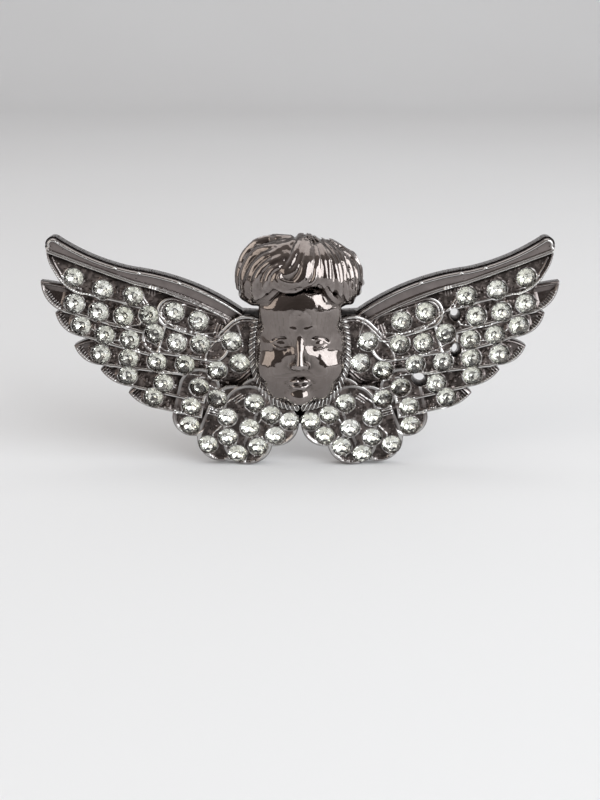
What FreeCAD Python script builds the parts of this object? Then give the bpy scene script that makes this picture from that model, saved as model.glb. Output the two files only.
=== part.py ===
"""Winged cherub-head candle pin: two cast wings set with glass stones, a cast head and two push-in spikes.

Millimetres. +X is to the viewer's right, +Z is up and the front faces -Y. The flat backs of the wings lie
in the plane Y = 0, and the origin is in that plane, half way between the two spikes.
"""
import FreeCAD
import Part
import Sketcher
import math
import os

from FreeCAD import Placement, Rotation, Vector

doc = FreeCAD.newDocument("candle_pin")
sheet = doc.addObject("Spreadsheet::Sheet", "sizes")

# ---------------------------------------------------------------------------------------------------------
# Driving dimensions. "out" is measured sideways from the middle of the ornament, "up" from the axes of the
# spikes and "height" forwards from the flat backs of the wings. Headings turn up from straight out.
# ---------------------------------------------------------------------------------------------------------
SIZES = {
    # glass stones and their seats
    "stone_diameter": 3.1,
    "stone_table": 1.75,
    "stone_crown": 0.62,
    "stone_girdle": 0.14,
    "stone_pavilion": 1.05,
    "stone_sides": 8,
    "seat_clearance": 0.05,
    # feathers of the wing castings
    "web_height": 1.5,
    "rim_width": 0.38,
    "rim_rise": 0.26,
    "quill_height": 2.3,
    "quill_above": 2.6,
    "quill_below": 1.95,
    "quill_roll": 7.0,
    "quill_pitch": 2.0,
    "lead_height": 2.35,
    "band_height": 3.15,
    "band_rim": 0.5,
    "band_channel": 0.45,
    # head casting
    "head_clearance": 0.12,
    "face_half_width": 7.6,
    "face_half_height": 9.9,
    "face_depth": 5.8,
    "face_up": 3.1,
    "hair_half_width": 10.7,
    "hair_half_height": 9.0,
    "hair_depth": 6.3,
    "hair_up": 13.3,
    "lock_depth": 0.9,
    # push-in spikes
    "spike_spacing": 28.0,
    "spike_radius": 0.8,
    "spike_shank": 9.0,
    "spike_point": 4.0,
    "pad_radius": 4.0,
    "pad_thickness": 0.8,
    "solder_cone": 0.5,
}

# Rows of stones on one wing: where the first stone is, which way the row sets off, how much it turns at
# each stone, the metal left between two stones, and the number of stones.
ROWS = {
    "leading": dict(out=28.1, up=11.0, heading=12.0, turn=10.8, gap=2.14, count=3),
    "quill_2": dict(out=25.6, up=7.75, heading=-2.0, turn=11.0, gap=1.2, count=4),
    "quill_3": dict(out=29.0, up=3.5, heading=10.8, turn=11.0, gap=1.2, count=3),
    "quill_4": dict(out=19.7, up=-0.8, heading=5.0, turn=1.5, gap=1.75, count=4),
    "quill_5": dict(out=23.5, up=-4.3, heading=12.7, turn=0.0, gap=3.25, count=2),
    "quill_6": dict(out=25.4, up=-6.8, heading=12.0, turn=0.0, gap=1.0, count=1),
    "shoulder": dict(out=17.2, up=6.8, heading=20.7, turn=0.0, gap=1.28, count=2),
    "middle": dict(out=17.0, up=2.8, heading=3.0, turn=20.0, gap=0.95, count=3),
    "cheek": dict(out=11.6, up=3.3, heading=-107.6, turn=89.0, gap=0.95, count=3),
    "elbow": dict(out=14.3, up=-6.9, heading=33.7, turn=0.0, gap=0.55, count=2),
    "covert_1": dict(out=18.85, up=-8.4, heading=-84.0, turn=0.0, gap=0.55, count=2),
    "covert_2": dict(out=12.6, up=-10.2, heading=-90.0, turn=67.0, gap=0.7, count=3),
    "covert_3": dict(out=8.7, up=-12.2, heading=-110.7, turn=89.7, gap=0.75, count=3),
    "covert_4": dict(out=7.8, up=-7.55, heading=-141.0, turn=-17.0, gap=0.42, count=3),
    "breast": dict(out=4.3, up=-13.7, heading=-60.0, turn=0.0, gap=1.0, count=1),
}

# Pointed feathers. The frame of each stands on its row's last stone and looks along "heading": the tip is
# ahead of that stone and to its left, the point's curves are "taper" long, and the root is behind.
QUILLS = {
    "quill_2": dict(heading=15.4, ahead=7.1, left=2.5, taper=5.6, root=16.0),
    "quill_3": dict(heading=15.8, ahead=5.1, left=0.9, taper=4.6, root=14.0),
    "quill_4": dict(heading=7.0, ahead=4.7, left=0.9, taper=4.4, root=19.0),
    "quill_5": dict(heading=12.7, ahead=4.8, left=-0.1, taper=4.6, root=14.0),
    "quill_6": dict(heading=12.0, ahead=4.4, left=-0.2, taper=4.6, root=9.0),
}

# Rounded feathers: the centre (out, up) of the round end, the way the feather points, its radius, how long it
# is behind the round end, the height of its face, and how the face lies.
SCALES = {
    "shoulder": (21.6, 8.2, 18.0, 2.75, 7.5, 2.75, 4.0, 2.0),
    "middle": (24.2, 3.9, 9.0, 2.8, 9.5, 2.6, 5.0, 2.0),
    "cheek": (12.4, -0.2, -45.0, 4.6, 5.0, 2.9, 0.0, 5.0),
    "elbow": (16.6, -5.4, 35.0, 2.75, 5.0, 2.55, -3.0, 3.0),
    "covert_1": (18.7, -10.6, -76.0, 3.55, 6.0, 2.4, 0.0, 7.0),
    "covert_2": (13.8, -14.5, -68.0, 4.25, 6.5, 2.6, 0.0, 7.0),
    "covert_3": (9.1, -14.9, -88.0, 4.35, 6.5, 2.8, 0.0, 7.0),
    "covert_4": (4.3, -11.7, -118.0, 4.1, 5.5, 3.0, 0.0, 5.0),
}
SCALE_KEYS = ("out", "up", "heading", "radius", "body", "height", "roll", "pitch")

# The breast stone sits on the same feather as the row of covert_4.
FEATHER_OF_ROW = {"breast": "covert_4"}

# Corner points of the outlines that lie in the wings' own plane (out, up).
POINTS = {
    "lead_root": (9.6, 8.4),
    "lead_rise": (17.6, 12.9),
    "lead_waist": (28.0, 15.7),
    "lead_bow": (36.0, 18.4),
    "lead_tip": (40.8, 21.15),
    "lead_crown": (42.3, 21.35),
    "lead_tip_end": (43.05, 20.0),
    "lead_end": (42.9, 17.4),
    "lead_notch": (41.7, 14.9),
    "lead_heel": (39.2, 12.3),
    "lead_low": (35.8, 11.1),
    "lead_low_root": (21.0, 7.6),
    "lead_inner": (8.4, 5.0),
    "band_root": (10.6, 6.6),
    "band_rise": (18.6, 10.9),
    "band_waist": (28.0, 13.5),
    "band_bow": (35.6, 16.0),
    "band_tip": (42.6, 18.6),
    "web_top": (0.0, 8.0),
    "web_shoulder": (11.0, 8.6),
    "web_front": (27.0, 11.0),
    "web_end": (31.0, -2.0),
    "web_low": (20.0, -9.0),
    "web_covert": (12.0, -13.0),
    "web_bottom": (0.0, -11.6),
}
# Outlines as chains of points: a pair of names is a straight edge, three names are an arc through them.
LEAD_OUTLINE = [
    ("lead_root", "lead_rise", "lead_waist"),
    ("lead_waist", "lead_bow", "lead_tip"),
    ("lead_tip", "lead_crown", "lead_tip_end"),
    ("lead_tip_end", "lead_end", "lead_notch"),
    ("lead_notch", "lead_heel", "lead_low"),
    ("lead_low", "lead_low_root"),
    ("lead_low_root", "lead_inner"),
    ("lead_inner", "lead_root"),
]
BAND_OUTLINE = [
    ("lead_root", "lead_rise", "lead_waist"),
    ("lead_waist", "lead_bow", "lead_tip"),
    ("lead_tip", "lead_crown", "lead_tip_end"),
    ("lead_tip_end", "band_tip"),
    ("band_tip", "band_bow", "band_waist"),
    ("band_waist", "band_rise", "band_root"),
    ("band_root", "lead_root"),
]
WEB_OUTLINE = [
    ("web_top", "web_shoulder"),
    ("web_shoulder", "web_front"),
    ("web_front", "web_end"),
    ("web_end", "web_low"),
    ("web_low", "web_covert"),
    ("web_covert", "web_bottom"),
    ("web_bottom", "web_top"),
]
# Locks of hair. Each runs in an arc from its root to its end, both (out, up), is bowed sideways by "bow" and
# is "width" wide at its middle.
LOCKS = {
    "forelock": dict(root=(1.2, 21.8), end=(-3.0, 13.4), bow=-1.8, width=4.2),
    "curl": dict(root=(-4.6, 14.0), end=(0.6, 12.6), bow=1.7, width=2.0),
    "left_sweep": dict(root=(-1.6, 21.4), end=(-9.6, 10.6), bow=2.5, width=5.0),
    "left_temple": dict(root=(-2.0, 19.6), end=(-8.2, 9.8), bow=2.0, width=3.8),
    "left_fringe": dict(root=(-2.5, 16.8), end=(-5.4, 11.4), bow=1.1, width=3.2),
    "right_sweep": dict(root=(5.2, 20.9), end=(9.4, 10.4), bow=-1.2, width=3.6),
    "right_temple": dict(root=(4.2, 21.1), end=(8.0, 10.4), bow=-1.1, width=3.6),
    "right_fringe": dict(root=(2.9, 21.2), end=(4.6, 12.4), bow=-0.4, width=3.6),
}
# Raised forms of a plain, calm child's face: the middle (out, up), half the width, half the height and how
# far each stands out of the face behind it.
FEATURES = {
    "cheek_left": (-3.8, 0.2, 3.2, 3.1, 0.45),
    "cheek_right": (3.8, 0.2, 3.2, 3.1, 0.45),
    "brow": (0.0, 9.6, 5.4, 2.8, 0.5),
    "nose_bridge": (0.0, 4.1, 0.8, 3.3, 0.8),
    "nose_tip": (0.0, 1.4, 1.4, 1.0, 1.4),
    "eye_left": (-2.95, 4.75, 1.6, 1.0, 0.25),
    "eye_right": (2.95, 4.75, 1.6, 1.0, 0.25),
    "lip_upper": (0.0, -1.6, 2.0, 0.5, 0.5),
    "lip_lower": (0.0, -2.5, 1.7, 0.55, 0.5),
    "chin": (0.0, -4.8, 2.1, 1.5, 0.5),
}
FEATURE_KEYS = ("out", "up", "half_width", "half_height", "stand")
# Openings through the right wing: the middle (out, up), half the width, half the height and the corners.
OPENINGS = {
    "tip_opening": (26.3, 7.9, 0.5, 0.6, 6),
    "row_opening": (26.6, 1.6, 0.4, 0.6, 6),
    "wedge_opening": (20.6, -3.4, 0.8, 0.8, 3),
}
OPENING_KEYS = ("out", "up", "half_width", "half_height", "sides")
# Stones that the right wing lacks: the row and the place in it, counted from 0.
LACKING = {("quill_2", 0)}
# Turn, in degrees, and length of each straight edge that an arc of a feather is cut into.
ARC_STEP = 20.0
ARC_REACH = 4.8
# Number of flat facets round and along the forms of the head.
DOME_SIDES = 24
DOME_STEPS = 5
FEATURE_SIDES = 10
FEATURE_STEPS = 3
LOCK_SIDES = 6
LOCK_STEPS = 6
# Squareness of the ovals: 2 is an ellipse, and more is squarer.
FACE_SQUARENESS = 2.2
HAIR_SQUARENESS = 2.15
DOME_FULLNESS = 0.83
DOME_END = 80.0
LOCK_END = 0.35
# Volume, in cubic millimetres, below which four corners lie in one plane.
FLAT_ENOUGH = 1e-6


def fill_sheet():
    """Writes every driving dimension into a cell of its own, with its name as the cell's alias."""
    cells = dict(SIZES)
    for table, kind in ((ROWS, "row"), (QUILLS, "quill")):
        for name, sizes in table.items():
            for key, value in sizes.items():
                cells[f"{kind}_{name}_{key}"] = value
    for name, (out, up) in POINTS.items():
        cells[name + "_out"] = out
        cells[name + "_up"] = up
    for name, lock in LOCKS.items():
        for place in ("root", "end"):
            cells[f"lock_{name}_{place}_out"] = lock[place][0]
            cells[f"lock_{name}_{place}_up"] = lock[place][1]
        cells[f"lock_{name}_bow"] = lock["bow"]
        cells[f"lock_{name}_width"] = lock["width"]
    keyed_tables = (
        (SCALES, SCALE_KEYS, "scale"),
        (FEATURES, FEATURE_KEYS, "feature"),
        (OPENINGS, OPENING_KEYS, "opening"),
    )
    for table, keys, kind in keyed_tables:
        for name, values in table.items():
            for key, value in zip(keys, values):
                cells[f"{kind}_{name}_{key}"] = value
    for number, (alias, value) in enumerate(cells.items(), start=1):
        sheet.set(f"A{number}", alias)
        sheet.set(f"B{number}", str(value))
        sheet.setAlias(f"B{number}", alias)
    doc.recompute()


def size(alias):
    """The plain number in the cell with this alias."""
    return float(sheet.get(alias))


def sizes_of(kind, name, keys):
    """Several cells of one feather, row or lock."""
    return [size(f"{kind}_{name}_{key}") for key in keys]


# ---------------------------------------------------------------------------------------------------------
# Frames: how each feather's face lies, and where each stone sits on it
# ---------------------------------------------------------------------------------------------------------
def facing(heading):
    """Rotation whose x points along the heading on the wing, and whose z points out of its front."""
    along = Vector(math.cos(math.radians(heading)), 0, math.sin(math.radians(heading)))
    return Rotation(along, Vector(), Vector(0, -1, 0), "ZXY")


def tilted(out, up, height, heading, roll, pitch):
    """Placement of a feather's face, rolled about its length and pitched down towards its tip."""
    lean = Rotation(Vector(1, 0, 0), -roll) * Rotation(Vector(0, 1, 0), pitch)
    return Placement(Vector(out, -height, up), facing(heading) * lean)


def row_points(row):
    """(out, up) of each stone of a row, one step of stone and gap after another."""
    keys = ("out", "up", "heading", "turn", "gap", "count")
    out, up, heading, turn, gap, count = sizes_of("row", row, keys)
    step = size("stone_diameter") + gap
    points = []
    for _ in range(int(count)):
        points.append((out, up))
        out += step * math.cos(math.radians(heading))
        up += step * math.sin(math.radians(heading))
        heading += turn
    return points


def feather_placement(feather):
    """Placement of a feather's face. A quill's stands on its row's last stone."""
    if feather == "leading":
        return Placement(Vector(0, -size("lead_height"), 0), facing(0.0))
    if feather in QUILLS:
        out, up = row_points(feather)[-1]
        heading = size(f"quill_{feather}_heading")
        return tilted(out, up, size("quill_height"), heading, size("quill_roll"), size("quill_pitch"))
    return tilted(*sizes_of("scale", feather, ("out", "up", "height", "heading", "roll", "pitch")))


def stone_placements(row):
    """Placement of each stone of a row: the top of its girdle lies in the sunk field of its feather."""
    front = feather_placement(FEATHER_OF_ROW.get(row, row))
    normal = front.Rotation.multVec(Vector(0, 0, 1))
    places = []
    for out, up in row_points(row):
        offset = Vector(out, front.Base.y, up) - front.Base
        forward = -offset.dot(normal) / normal.y
        on_face = Vector(out, front.Base.y + forward, up)
        places.append(Placement(on_face - normal * size("rim_rise"), front.Rotation))
    return places


# ---------------------------------------------------------------------------------------------------------
# Sketches
# ---------------------------------------------------------------------------------------------------------
def add(kind, name, **properties):
    """Adds a document object under its own label."""
    item = doc.addObject(kind, name)
    item.Label = name
    for key, value in properties.items():
        setattr(item, key, value)
    return item


def bind(item, **expressions):
    """Ties properties of an object to cells of the sheet."""
    for key, expression in expressions.items():
        item.setExpression(key, expression)
    return item


def arc_leaving(start, direction, end):
    """The arc that leaves start along direction and ends at end."""
    chord = end - start
    turn = math.atan2(direction.cross(chord).z, direction.dot(chord))
    half = Rotation(Vector(0, 0, 1), math.degrees(turn) / 2)
    middle = start + half.multVec(direction) * (chord.Length / (2 * math.cos(turn / 2)))
    return Part.Arc(start, middle, end)


def join_ends(sketch, count, smooth):
    """Joins each edge of a closed chain to the next one, smoothly after the edges named in smooth."""
    for index in range(count):
        following = (index + 1) % count
        pairs = [(first, second) for first in (1, 2) for second in (1, 2)]

        def distance(pair):
            return sketch.getPoint(index, pair[0]).distanceToPoint(sketch.getPoint(following, pair[1]))

        first, second = min(pairs, key=distance)
        rule = "Tangent" if index in smooth else "Coincident"
        sketch.addConstraint(Sketcher.Constraint(rule, index, first, following, second))


def tie(sketch, rule, index, point, value, expression):
    """Holds a point of a sketch at a distance from its origin that the sheet gives."""
    number = sketch.addConstraint(Sketcher.Constraint(rule, -1, 1, index, point, value))
    sketch.setExpression(f"Constraints[{number}]", expression)


def closed_sketch(name, placement, edges, smooth=()):
    """A sketch of a closed chain of edges, joined smoothly after the edges numbered in smooth."""
    sketch = add("Sketcher::SketchObject", name, Placement=placement)
    sketch.addGeometry(edges, False)
    join_ends(sketch, len(edges), smooth)
    return sketch


def quill_sketch(feather):
    """Pointed feather: two straight sides, each running smoothly into an arc that ends at the tip."""
    alias = f"sizes.quill_{feather}_"
    ahead, left, taper, root = sizes_of("quill", feather, ("ahead", "left", "taper", "root"))
    above = size("quill_above")
    below = size("quill_below")
    tip = Vector(ahead, left, 0)
    low = Vector(ahead - taper, -below, 0)
    high = Vector(ahead - taper, above, 0)
    low_root = Vector(-root, -below, 0)
    high_root = Vector(-root, above, 0)
    along = Vector(1, 0, 0)
    edges = [
        Part.LineSegment(low_root, low),
        arc_leaving(low, along, tip),
        arc_leaving(high, along, tip),
        Part.LineSegment(high, high_root),
        Part.LineSegment(high_root, low_root),
    ]
    sketch = closed_sketch(f"{feather}_outline", feather_placement(feather), edges, smooth=(0, 2))
    tip_end = min((1, 2), key=lambda point: sketch.getPoint(1, point).distanceToPoint(tip))
    tie(sketch, "DistanceX", 0, 1, -root, f"-{alias}root")
    tie(sketch, "DistanceY", 0, 1, -below, "-sizes.quill_below")
    tie(sketch, "DistanceX", 0, 2, ahead - taper, f"{alias}ahead - {alias}taper")
    tie(sketch, "DistanceY", 0, 2, -below, "-sizes.quill_below")
    tie(sketch, "DistanceX", 3, 1, ahead - taper, f"{alias}ahead - {alias}taper")
    tie(sketch, "DistanceY", 3, 1, above, "sizes.quill_above")
    tie(sketch, "DistanceX", 3, 2, -root, f"-{alias}root")
    tie(sketch, "DistanceY", 3, 2, above, "sizes.quill_above")
    tie(sketch, "DistanceX", 1, tip_end, ahead, f"{alias}ahead")
    tie(sketch, "DistanceY", 1, tip_end, left, f"{alias}left")
    return sketch


def scale_sketch(feather):
    """Rounded feather: two straight sides with a half circle at each end."""
    alias = f"sizes.scale_{feather}_"
    radius, body = sizes_of("scale", feather, ("radius", "body"))
    low = Vector(0, -radius, 0)
    high = Vector(0, radius, 0)
    low_root = Vector(-body, -radius, 0)
    high_root = Vector(-body, radius, 0)
    edges = [
        Part.LineSegment(low_root, low),
        Part.Arc(low, Vector(radius, 0, 0), high),
        Part.LineSegment(high, high_root),
        Part.Arc(high_root, Vector(-body - radius, 0, 0), low_root),
    ]
    sketch = closed_sketch(f"{feather}_outline", feather_placement(feather), edges, smooth=(0, 1, 2, 3))
    tie(sketch, "DistanceX", 0, 1, -body, f"-{alias}body")
    tie(sketch, "DistanceY", 0, 1, -radius, f"-{alias}radius")
    tie(sketch, "DistanceY", 2, 1, radius, f"{alias}radius")
    sketch.addConstraint(Sketcher.Constraint("Vertical", -1, 1, 0, 2))
    return sketch


def outline_sketch(name, height, chain):
    """A closed outline in the wings' own plane, through the named points of a chain."""
    def spot(point):
        return Vector(size(point + "_out"), size(point + "_up"), 0)

    edges = []
    for names in chain:
        points = [spot(point) for point in names]
        edges.append(Part.LineSegment(*points) if len(points) == 2 else Part.Arc(*points))
    placement = Placement(Vector(0, -size(height), 0), facing(0.0))
    sketch = closed_sketch(name, placement, edges)
    for index, names in enumerate(chain):
        start = min((1, 2), key=lambda point: sketch.getPoint(index, point).distanceToPoint(spot(names[0])))
        tie_spot(sketch, index, start, spot(names[0]), names[0])
        if len(names) == 3:
            on_arc = sketch.addGeometry(Part.Point(spot(names[1])), True)
            tie_spot(sketch, on_arc, 1, spot(names[1]), names[1])
            sketch.addConstraint(Sketcher.Constraint("PointOnObject", on_arc, 1, index))
    return bind(sketch, **{"Placement.Base.y": f"-sizes.{height}"})


def tie_spot(sketch, index, point, place, name):
    """Holds a sketch point at the named point of the sheet."""
    tie(sketch, "DistanceX", index, point, place.x, f"sizes.{name}_out")
    tie(sketch, "DistanceY", index, point, place.y, f"sizes.{name}_up")


# ---------------------------------------------------------------------------------------------------------
# Faceted solids: the stones, and the modelled forms of the head
# ---------------------------------------------------------------------------------------------------------
def flat_faces(corners):
    """One flat face through four corners, or two triangles where the four don't lie in a plane."""
    first, second, third, fourth = corners
    if abs((second - first).cross(third - first).dot(fourth - first)) < FLAT_ENOUGH:
        return [Part.Face(Part.makePolygon([*corners, first]))]
    halves = ((first, second, third), (first, third, fourth))
    return [Part.Face(Part.makePolygon([*half, first])) for half in halves]


def faceted(name, rings):
    """A solid with flat facets between rings of corners, and a flat end. A ring of one corner is a point."""
    faces = [Part.Face(Part.makePolygon([*ring, ring[0]])) for ring in (rings[0], rings[-1]) if len(ring) > 1]
    for near, far in zip(rings, rings[1:]):
        for number in range(len(far)):
            after = (number + 1) % len(far)
            if len(near) == 1:
                faces.append(Part.Face(Part.makePolygon([near[0], far[number], far[after], near[0]])))
            else:
                faces += flat_faces((near[number], near[after], far[after], far[number]))
    shape = Part.Solid(Part.Shell(faces))
    if shape.Volume < 0:
        shape.reverse()
    return add("Part::Feature", name, Shape=shape)


# ---------------------------------------------------------------------------------------------------------
# Wings
# ---------------------------------------------------------------------------------------------------------
def slab(name, outline, forwards, backwards):
    """Extrudes an outline straight forwards and back, by two lengths given as expressions on the sheet."""
    item = add("Part::Extrusion", name, Base=outline, DirMode="Custom", Dir=Vector(0, -1, 0), Solid=True)
    return bind(item, LengthFwd=forwards, LengthRev=backwards)


def faceted_face(name, outline):
    """The flat face inside an outline, with each arc cut into short straight edges."""
    doc.recompute()
    corners = []
    for edge in outline.Shape.Wires[0].OrderedEdges:
        pieces = 1
        if isinstance(edge.Curve, Part.Circle):
            turn = math.degrees(edge.Length / edge.Curve.Radius)
            pieces = max(2, math.ceil(turn / ARC_STEP), math.ceil(edge.Length / ARC_REACH))
        points = edge.discretize(Number=pieces + 1)
        if edge.Orientation == "Reversed":
            points.reverse()
        corners += points[:-1]
    return add("Part::Feature", name, Shape=Part.Face(Part.makePolygon([*corners, corners[0]])))


def rimmed(name, outline, height, rim, depth):
    """A slab whose front is sunk by a depth inside a raised rim."""
    face = faceted_face(f"{name}_face", outline)
    body = slab(f"{name}_slab", face, "0", f"sizes.stone_diameter + sizes.{height}")
    inner = add("Part::Offset2D", f"{name}_field", Source=face, Mode="Skin", Join="Arc")
    bind(inner, Value=f"-sizes.{rim}")
    cutter = slab(f"{name}_sink", inner, "sizes.stone_diameter", f"sizes.{depth}")
    return add("Part::Cut", f"{name}_feather", Base=body, Tool=cutter)


def stone_ring(radius, level):
    """Corners of one section of a stone or its seat."""
    sides = int(size("stone_sides"))
    turns = [2 * math.pi * number / sides for number in range(sides)]
    return [Vector(radius * math.cos(turn), radius * math.sin(turn), level) for turn in turns]


def stone_pattern():
    """One stone, with its table facing +Z and the top of its girdle at Z = 0."""
    girdle_low = -size("stone_girdle")
    return faceted("stone_pattern", [
        [Vector(0, 0, girdle_low - size("stone_pavilion"))],
        stone_ring(size("stone_diameter") / 2, girdle_low),
        stone_ring(size("stone_diameter") / 2, 0.0),
        stone_ring(size("stone_table") / 2, size("stone_crown")),
    ])


def seat_pattern():
    """The room for one stone: it beds on its pavilion and is free round its girdle."""
    radius = size("stone_diameter") / 2
    clearance = size("seat_clearance")
    culet = -size("stone_girdle") - size("stone_pavilion")
    wall_foot = culet + size("stone_pavilion") * (radius + clearance) / radius
    return faceted("seat_pattern", [
        [Vector(0, 0, culet)],
        stone_ring(radius + clearance, wall_foot),
        stone_ring(radius + clearance, size("stone_diameter") / 2),
    ])


def copies(name, pattern, places):
    """Separate copies of one pattern, as a single object."""
    shapes = []
    for place in places:
        shape = pattern.Shape.copy()
        shape.Placement = place.multiply(shape.Placement)
        shapes.append(shape)
    return add("Part::Feature", name, Shape=Part.Compound(shapes))


def wing_blank():
    """The overlapping feathers of one wing and the web behind them, fused and trimmed to the flat back."""
    web_outline = outline_sketch("web_outline", "web_height", WEB_OUTLINE)
    web = slab("web", web_outline, "0", "sizes.web_height")
    lead = rimmed("leading", outline_sketch("leading_outline", "lead_height", LEAD_OUTLINE),
                  "lead_height", "rim_width", "rim_rise")
    band = rimmed("band", outline_sketch("band_outline", "band_height", BAND_OUTLINE),
                  "band_height", "band_rim", "band_channel")
    feathers = [web, lead, band]
    for feather in QUILLS:
        feathers.append(rimmed(feather, quill_sketch(feather), "quill_height", "rim_width", "rim_rise"))
    for feather in SCALES:
        height = f"scale_{feather}_height"
        feathers.append(rimmed(feather, scale_sketch(feather), height, "rim_width", "rim_rise"))
    plumage = add("Part::MultiFuse", "plumage", Shapes=feathers)
    room = add("Part::Box", "wing_room")
    bind(room, Length="2 * (sizes.lead_tip_end_out + sizes.quill_quill_2_ahead)",
         Width="sizes.band_height + sizes.stone_diameter",
         Height="4 * sizes.lead_tip_up")
    bind(room, **{"Placement.Base.y": "-Width", "Placement.Base.z": "-Height / 2"})
    return add("Part::Common", "wing_blank", Base=plumage, Tool=room)


# ---------------------------------------------------------------------------------------------------------
# Head: faceted forms that stand on the web of the wings, fused, and kept within the head's room
# ---------------------------------------------------------------------------------------------------------
def oval(half_width, half_height, squareness, sides):
    """Corners (out, up) of an oval, turned so that a corner lies at the top."""
    corners = []
    for number in range(sides):
        angle = 2 * math.pi * number / sides
        across = abs(math.sin(angle)) ** (2 / squareness)
        along = abs(math.cos(angle)) ** (2 / squareness)
        corners.append((math.copysign(across * half_width, math.sin(angle)),
                        math.copysign(along * half_height, math.cos(angle))))
    return corners


def on_head(out, up, depth):
    """A point of the head, at a depth in front of the web that it stands on."""
    return Vector(out, -size("web_height") - depth, up)


def dome(name, centre, halves, depths, squareness, sides, steps):
    """A dome on an oval foot: centre (out, up), half width and height, and depths of its foot and its top."""
    out, up = centre
    foot, top = depths
    corners = oval(*halves, squareness, sides)
    rings = []
    for step in range(steps + 1):
        rise = math.radians(DOME_END * step / steps)
        shrink = math.cos(rise) ** DOME_FULLNESS
        depth = foot + (top - foot) * math.sin(rise)
        ring = [(out + across * shrink, up + along * shrink) for across, along in corners]
        rings.append([on_head(*spot, depth) for spot in ring])
    return faceted(name, rings)


def surface_depth(out, up):
    """How far the front of the hair or the face stands in front of the web at (out, up)."""
    deepest = 0.0
    for part, squareness in (("face", FACE_SQUARENESS), ("hair", HAIR_SQUARENESS)):
        across = abs(out) / size(part + "_half_width")
        along = abs(up - size(part + "_up")) / size(part + "_half_height")
        reach = min(1.0, (across ** squareness + along ** squareness) ** (1 / squareness))
        deepest = max(deepest, size(part + "_depth") * math.sqrt(1 - reach ** (2 / DOME_FULLNESS)))
    return deepest


def lock(name):
    """A lock of hair, half sunk in the hair behind it and tapered towards its end."""
    root_out, root_up, end_out, end_up, bow, width = sizes_of(
        "lock", name, ("root_out", "root_up", "end_out", "end_up", "bow", "width"))
    root = Vector(root_out, root_up, 0)
    chord = Vector(end_out, end_up, 0) - root
    aside = Vector(chord.y, -chord.x, 0).normalize()
    middle = [root + chord * (step / LOCK_STEPS) + aside * bow * math.sin(math.pi * step / LOCK_STEPS)
              for step in range(LOCK_STEPS + 1)]
    rings = []
    for step, point in enumerate(middle):
        before = middle[max(step - 1, 0)]
        after = middle[min(step + 1, LOCK_STEPS)]
        run = (after - before).normalize()
        across = Vector(run.y, -run.x, 0)
        share = math.sin(math.pi * (step + LOCK_END) / (LOCK_STEPS + 2 * LOCK_END))
        depth = surface_depth(point.x, point.y)
        ring = []
        for number in range(LOCK_SIDES):
            angle = 2 * math.pi * number / LOCK_SIDES
            place = point + across * (math.cos(angle) * width * share / 2)
            ring.append(on_head(place.x, place.y, depth + math.sin(angle) * size("lock_depth") * share))
        rings.append(ring)
    return faceted(f"lock_{name}", rings)


def feature(name):
    """A raised form of the face."""
    out, up, half_width, half_height, stand = sizes_of("feature", name, FEATURE_KEYS)
    top = surface_depth(out, up) + stand
    return dome(f"feature_{name}", (out, up), (half_width, half_height), (top - half_width - stand, top),
                2, FEATURE_SIDES, FEATURE_STEPS)


def head_ovals(grown):
    """Corners of the foot of the face and of the hair, grown by a margin."""
    ovals = []
    for part, squareness in (("face", FACE_SQUARENESS), ("hair", HAIR_SQUARENESS)):
        half_width = size(part + "_half_width") + grown
        half_height = size(part + "_half_height") + grown
        up = size(part + "_up")
        corners = oval(half_width, half_height, squareness, DOME_SIDES)
        ovals.append((part, [(out, up + along) for out, along in corners]))
    return ovals


def head_room(name, grown):
    """The room in front of the web that the foot of the head fills, grown by a margin."""
    reach = 2 * (size("hair_depth") + size("face_depth"))
    prisms = []
    for part, corners in head_ovals(grown):
        rings = [[on_head(out, up, depth) for out, up in corners] for depth in (0.0, reach)]
        prisms.append(faceted(f"{name}_{part}", rings))
    return add("Part::MultiFuse", name, Shapes=prisms)


def head_casting():
    """The head, flat at the back. Above the wings its locks may stand out past its foot."""
    domes = [
        dome("face_form", (0.0, size("face_up")), (size("face_half_width"), size("face_half_height")),
             (0.0, size("face_depth")), FACE_SQUARENESS, DOME_SIDES, DOME_STEPS),
        dome("hair_form", (0.0, size("hair_up")), (size("hair_half_width"), size("hair_half_height")),
             (0.0, size("hair_depth")), HAIR_SQUARENESS, DOME_SIDES, DOME_STEPS),
    ]
    forms = domes + [lock(name) for name in LOCKS] + [feature(name) for name in FEATURES]
    modelled = add("Part::MultiFuse", "head_forms", Shapes=forms)
    crown = add("Part::Box", "crown_room")
    bind(crown, Length="4 * sizes.hair_half_width", Width="2 * sizes.hair_depth + 2 * sizes.face_depth",
         Height="2 * sizes.hair_half_height")
    bind(crown, **{"Placement.Base.x": "-Length / 2", "Placement.Base.z": "sizes.hair_up",
                   "Placement.Base.y": "-sizes.web_height - 2 * sizes.hair_depth - 2 * sizes.face_depth"})
    room = add("Part::MultiFuse", "head_room", Shapes=[head_room("head_foot", 0.0), crown])
    return add("Part::Common", "cherub_head", Base=modelled, Tool=room)


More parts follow.
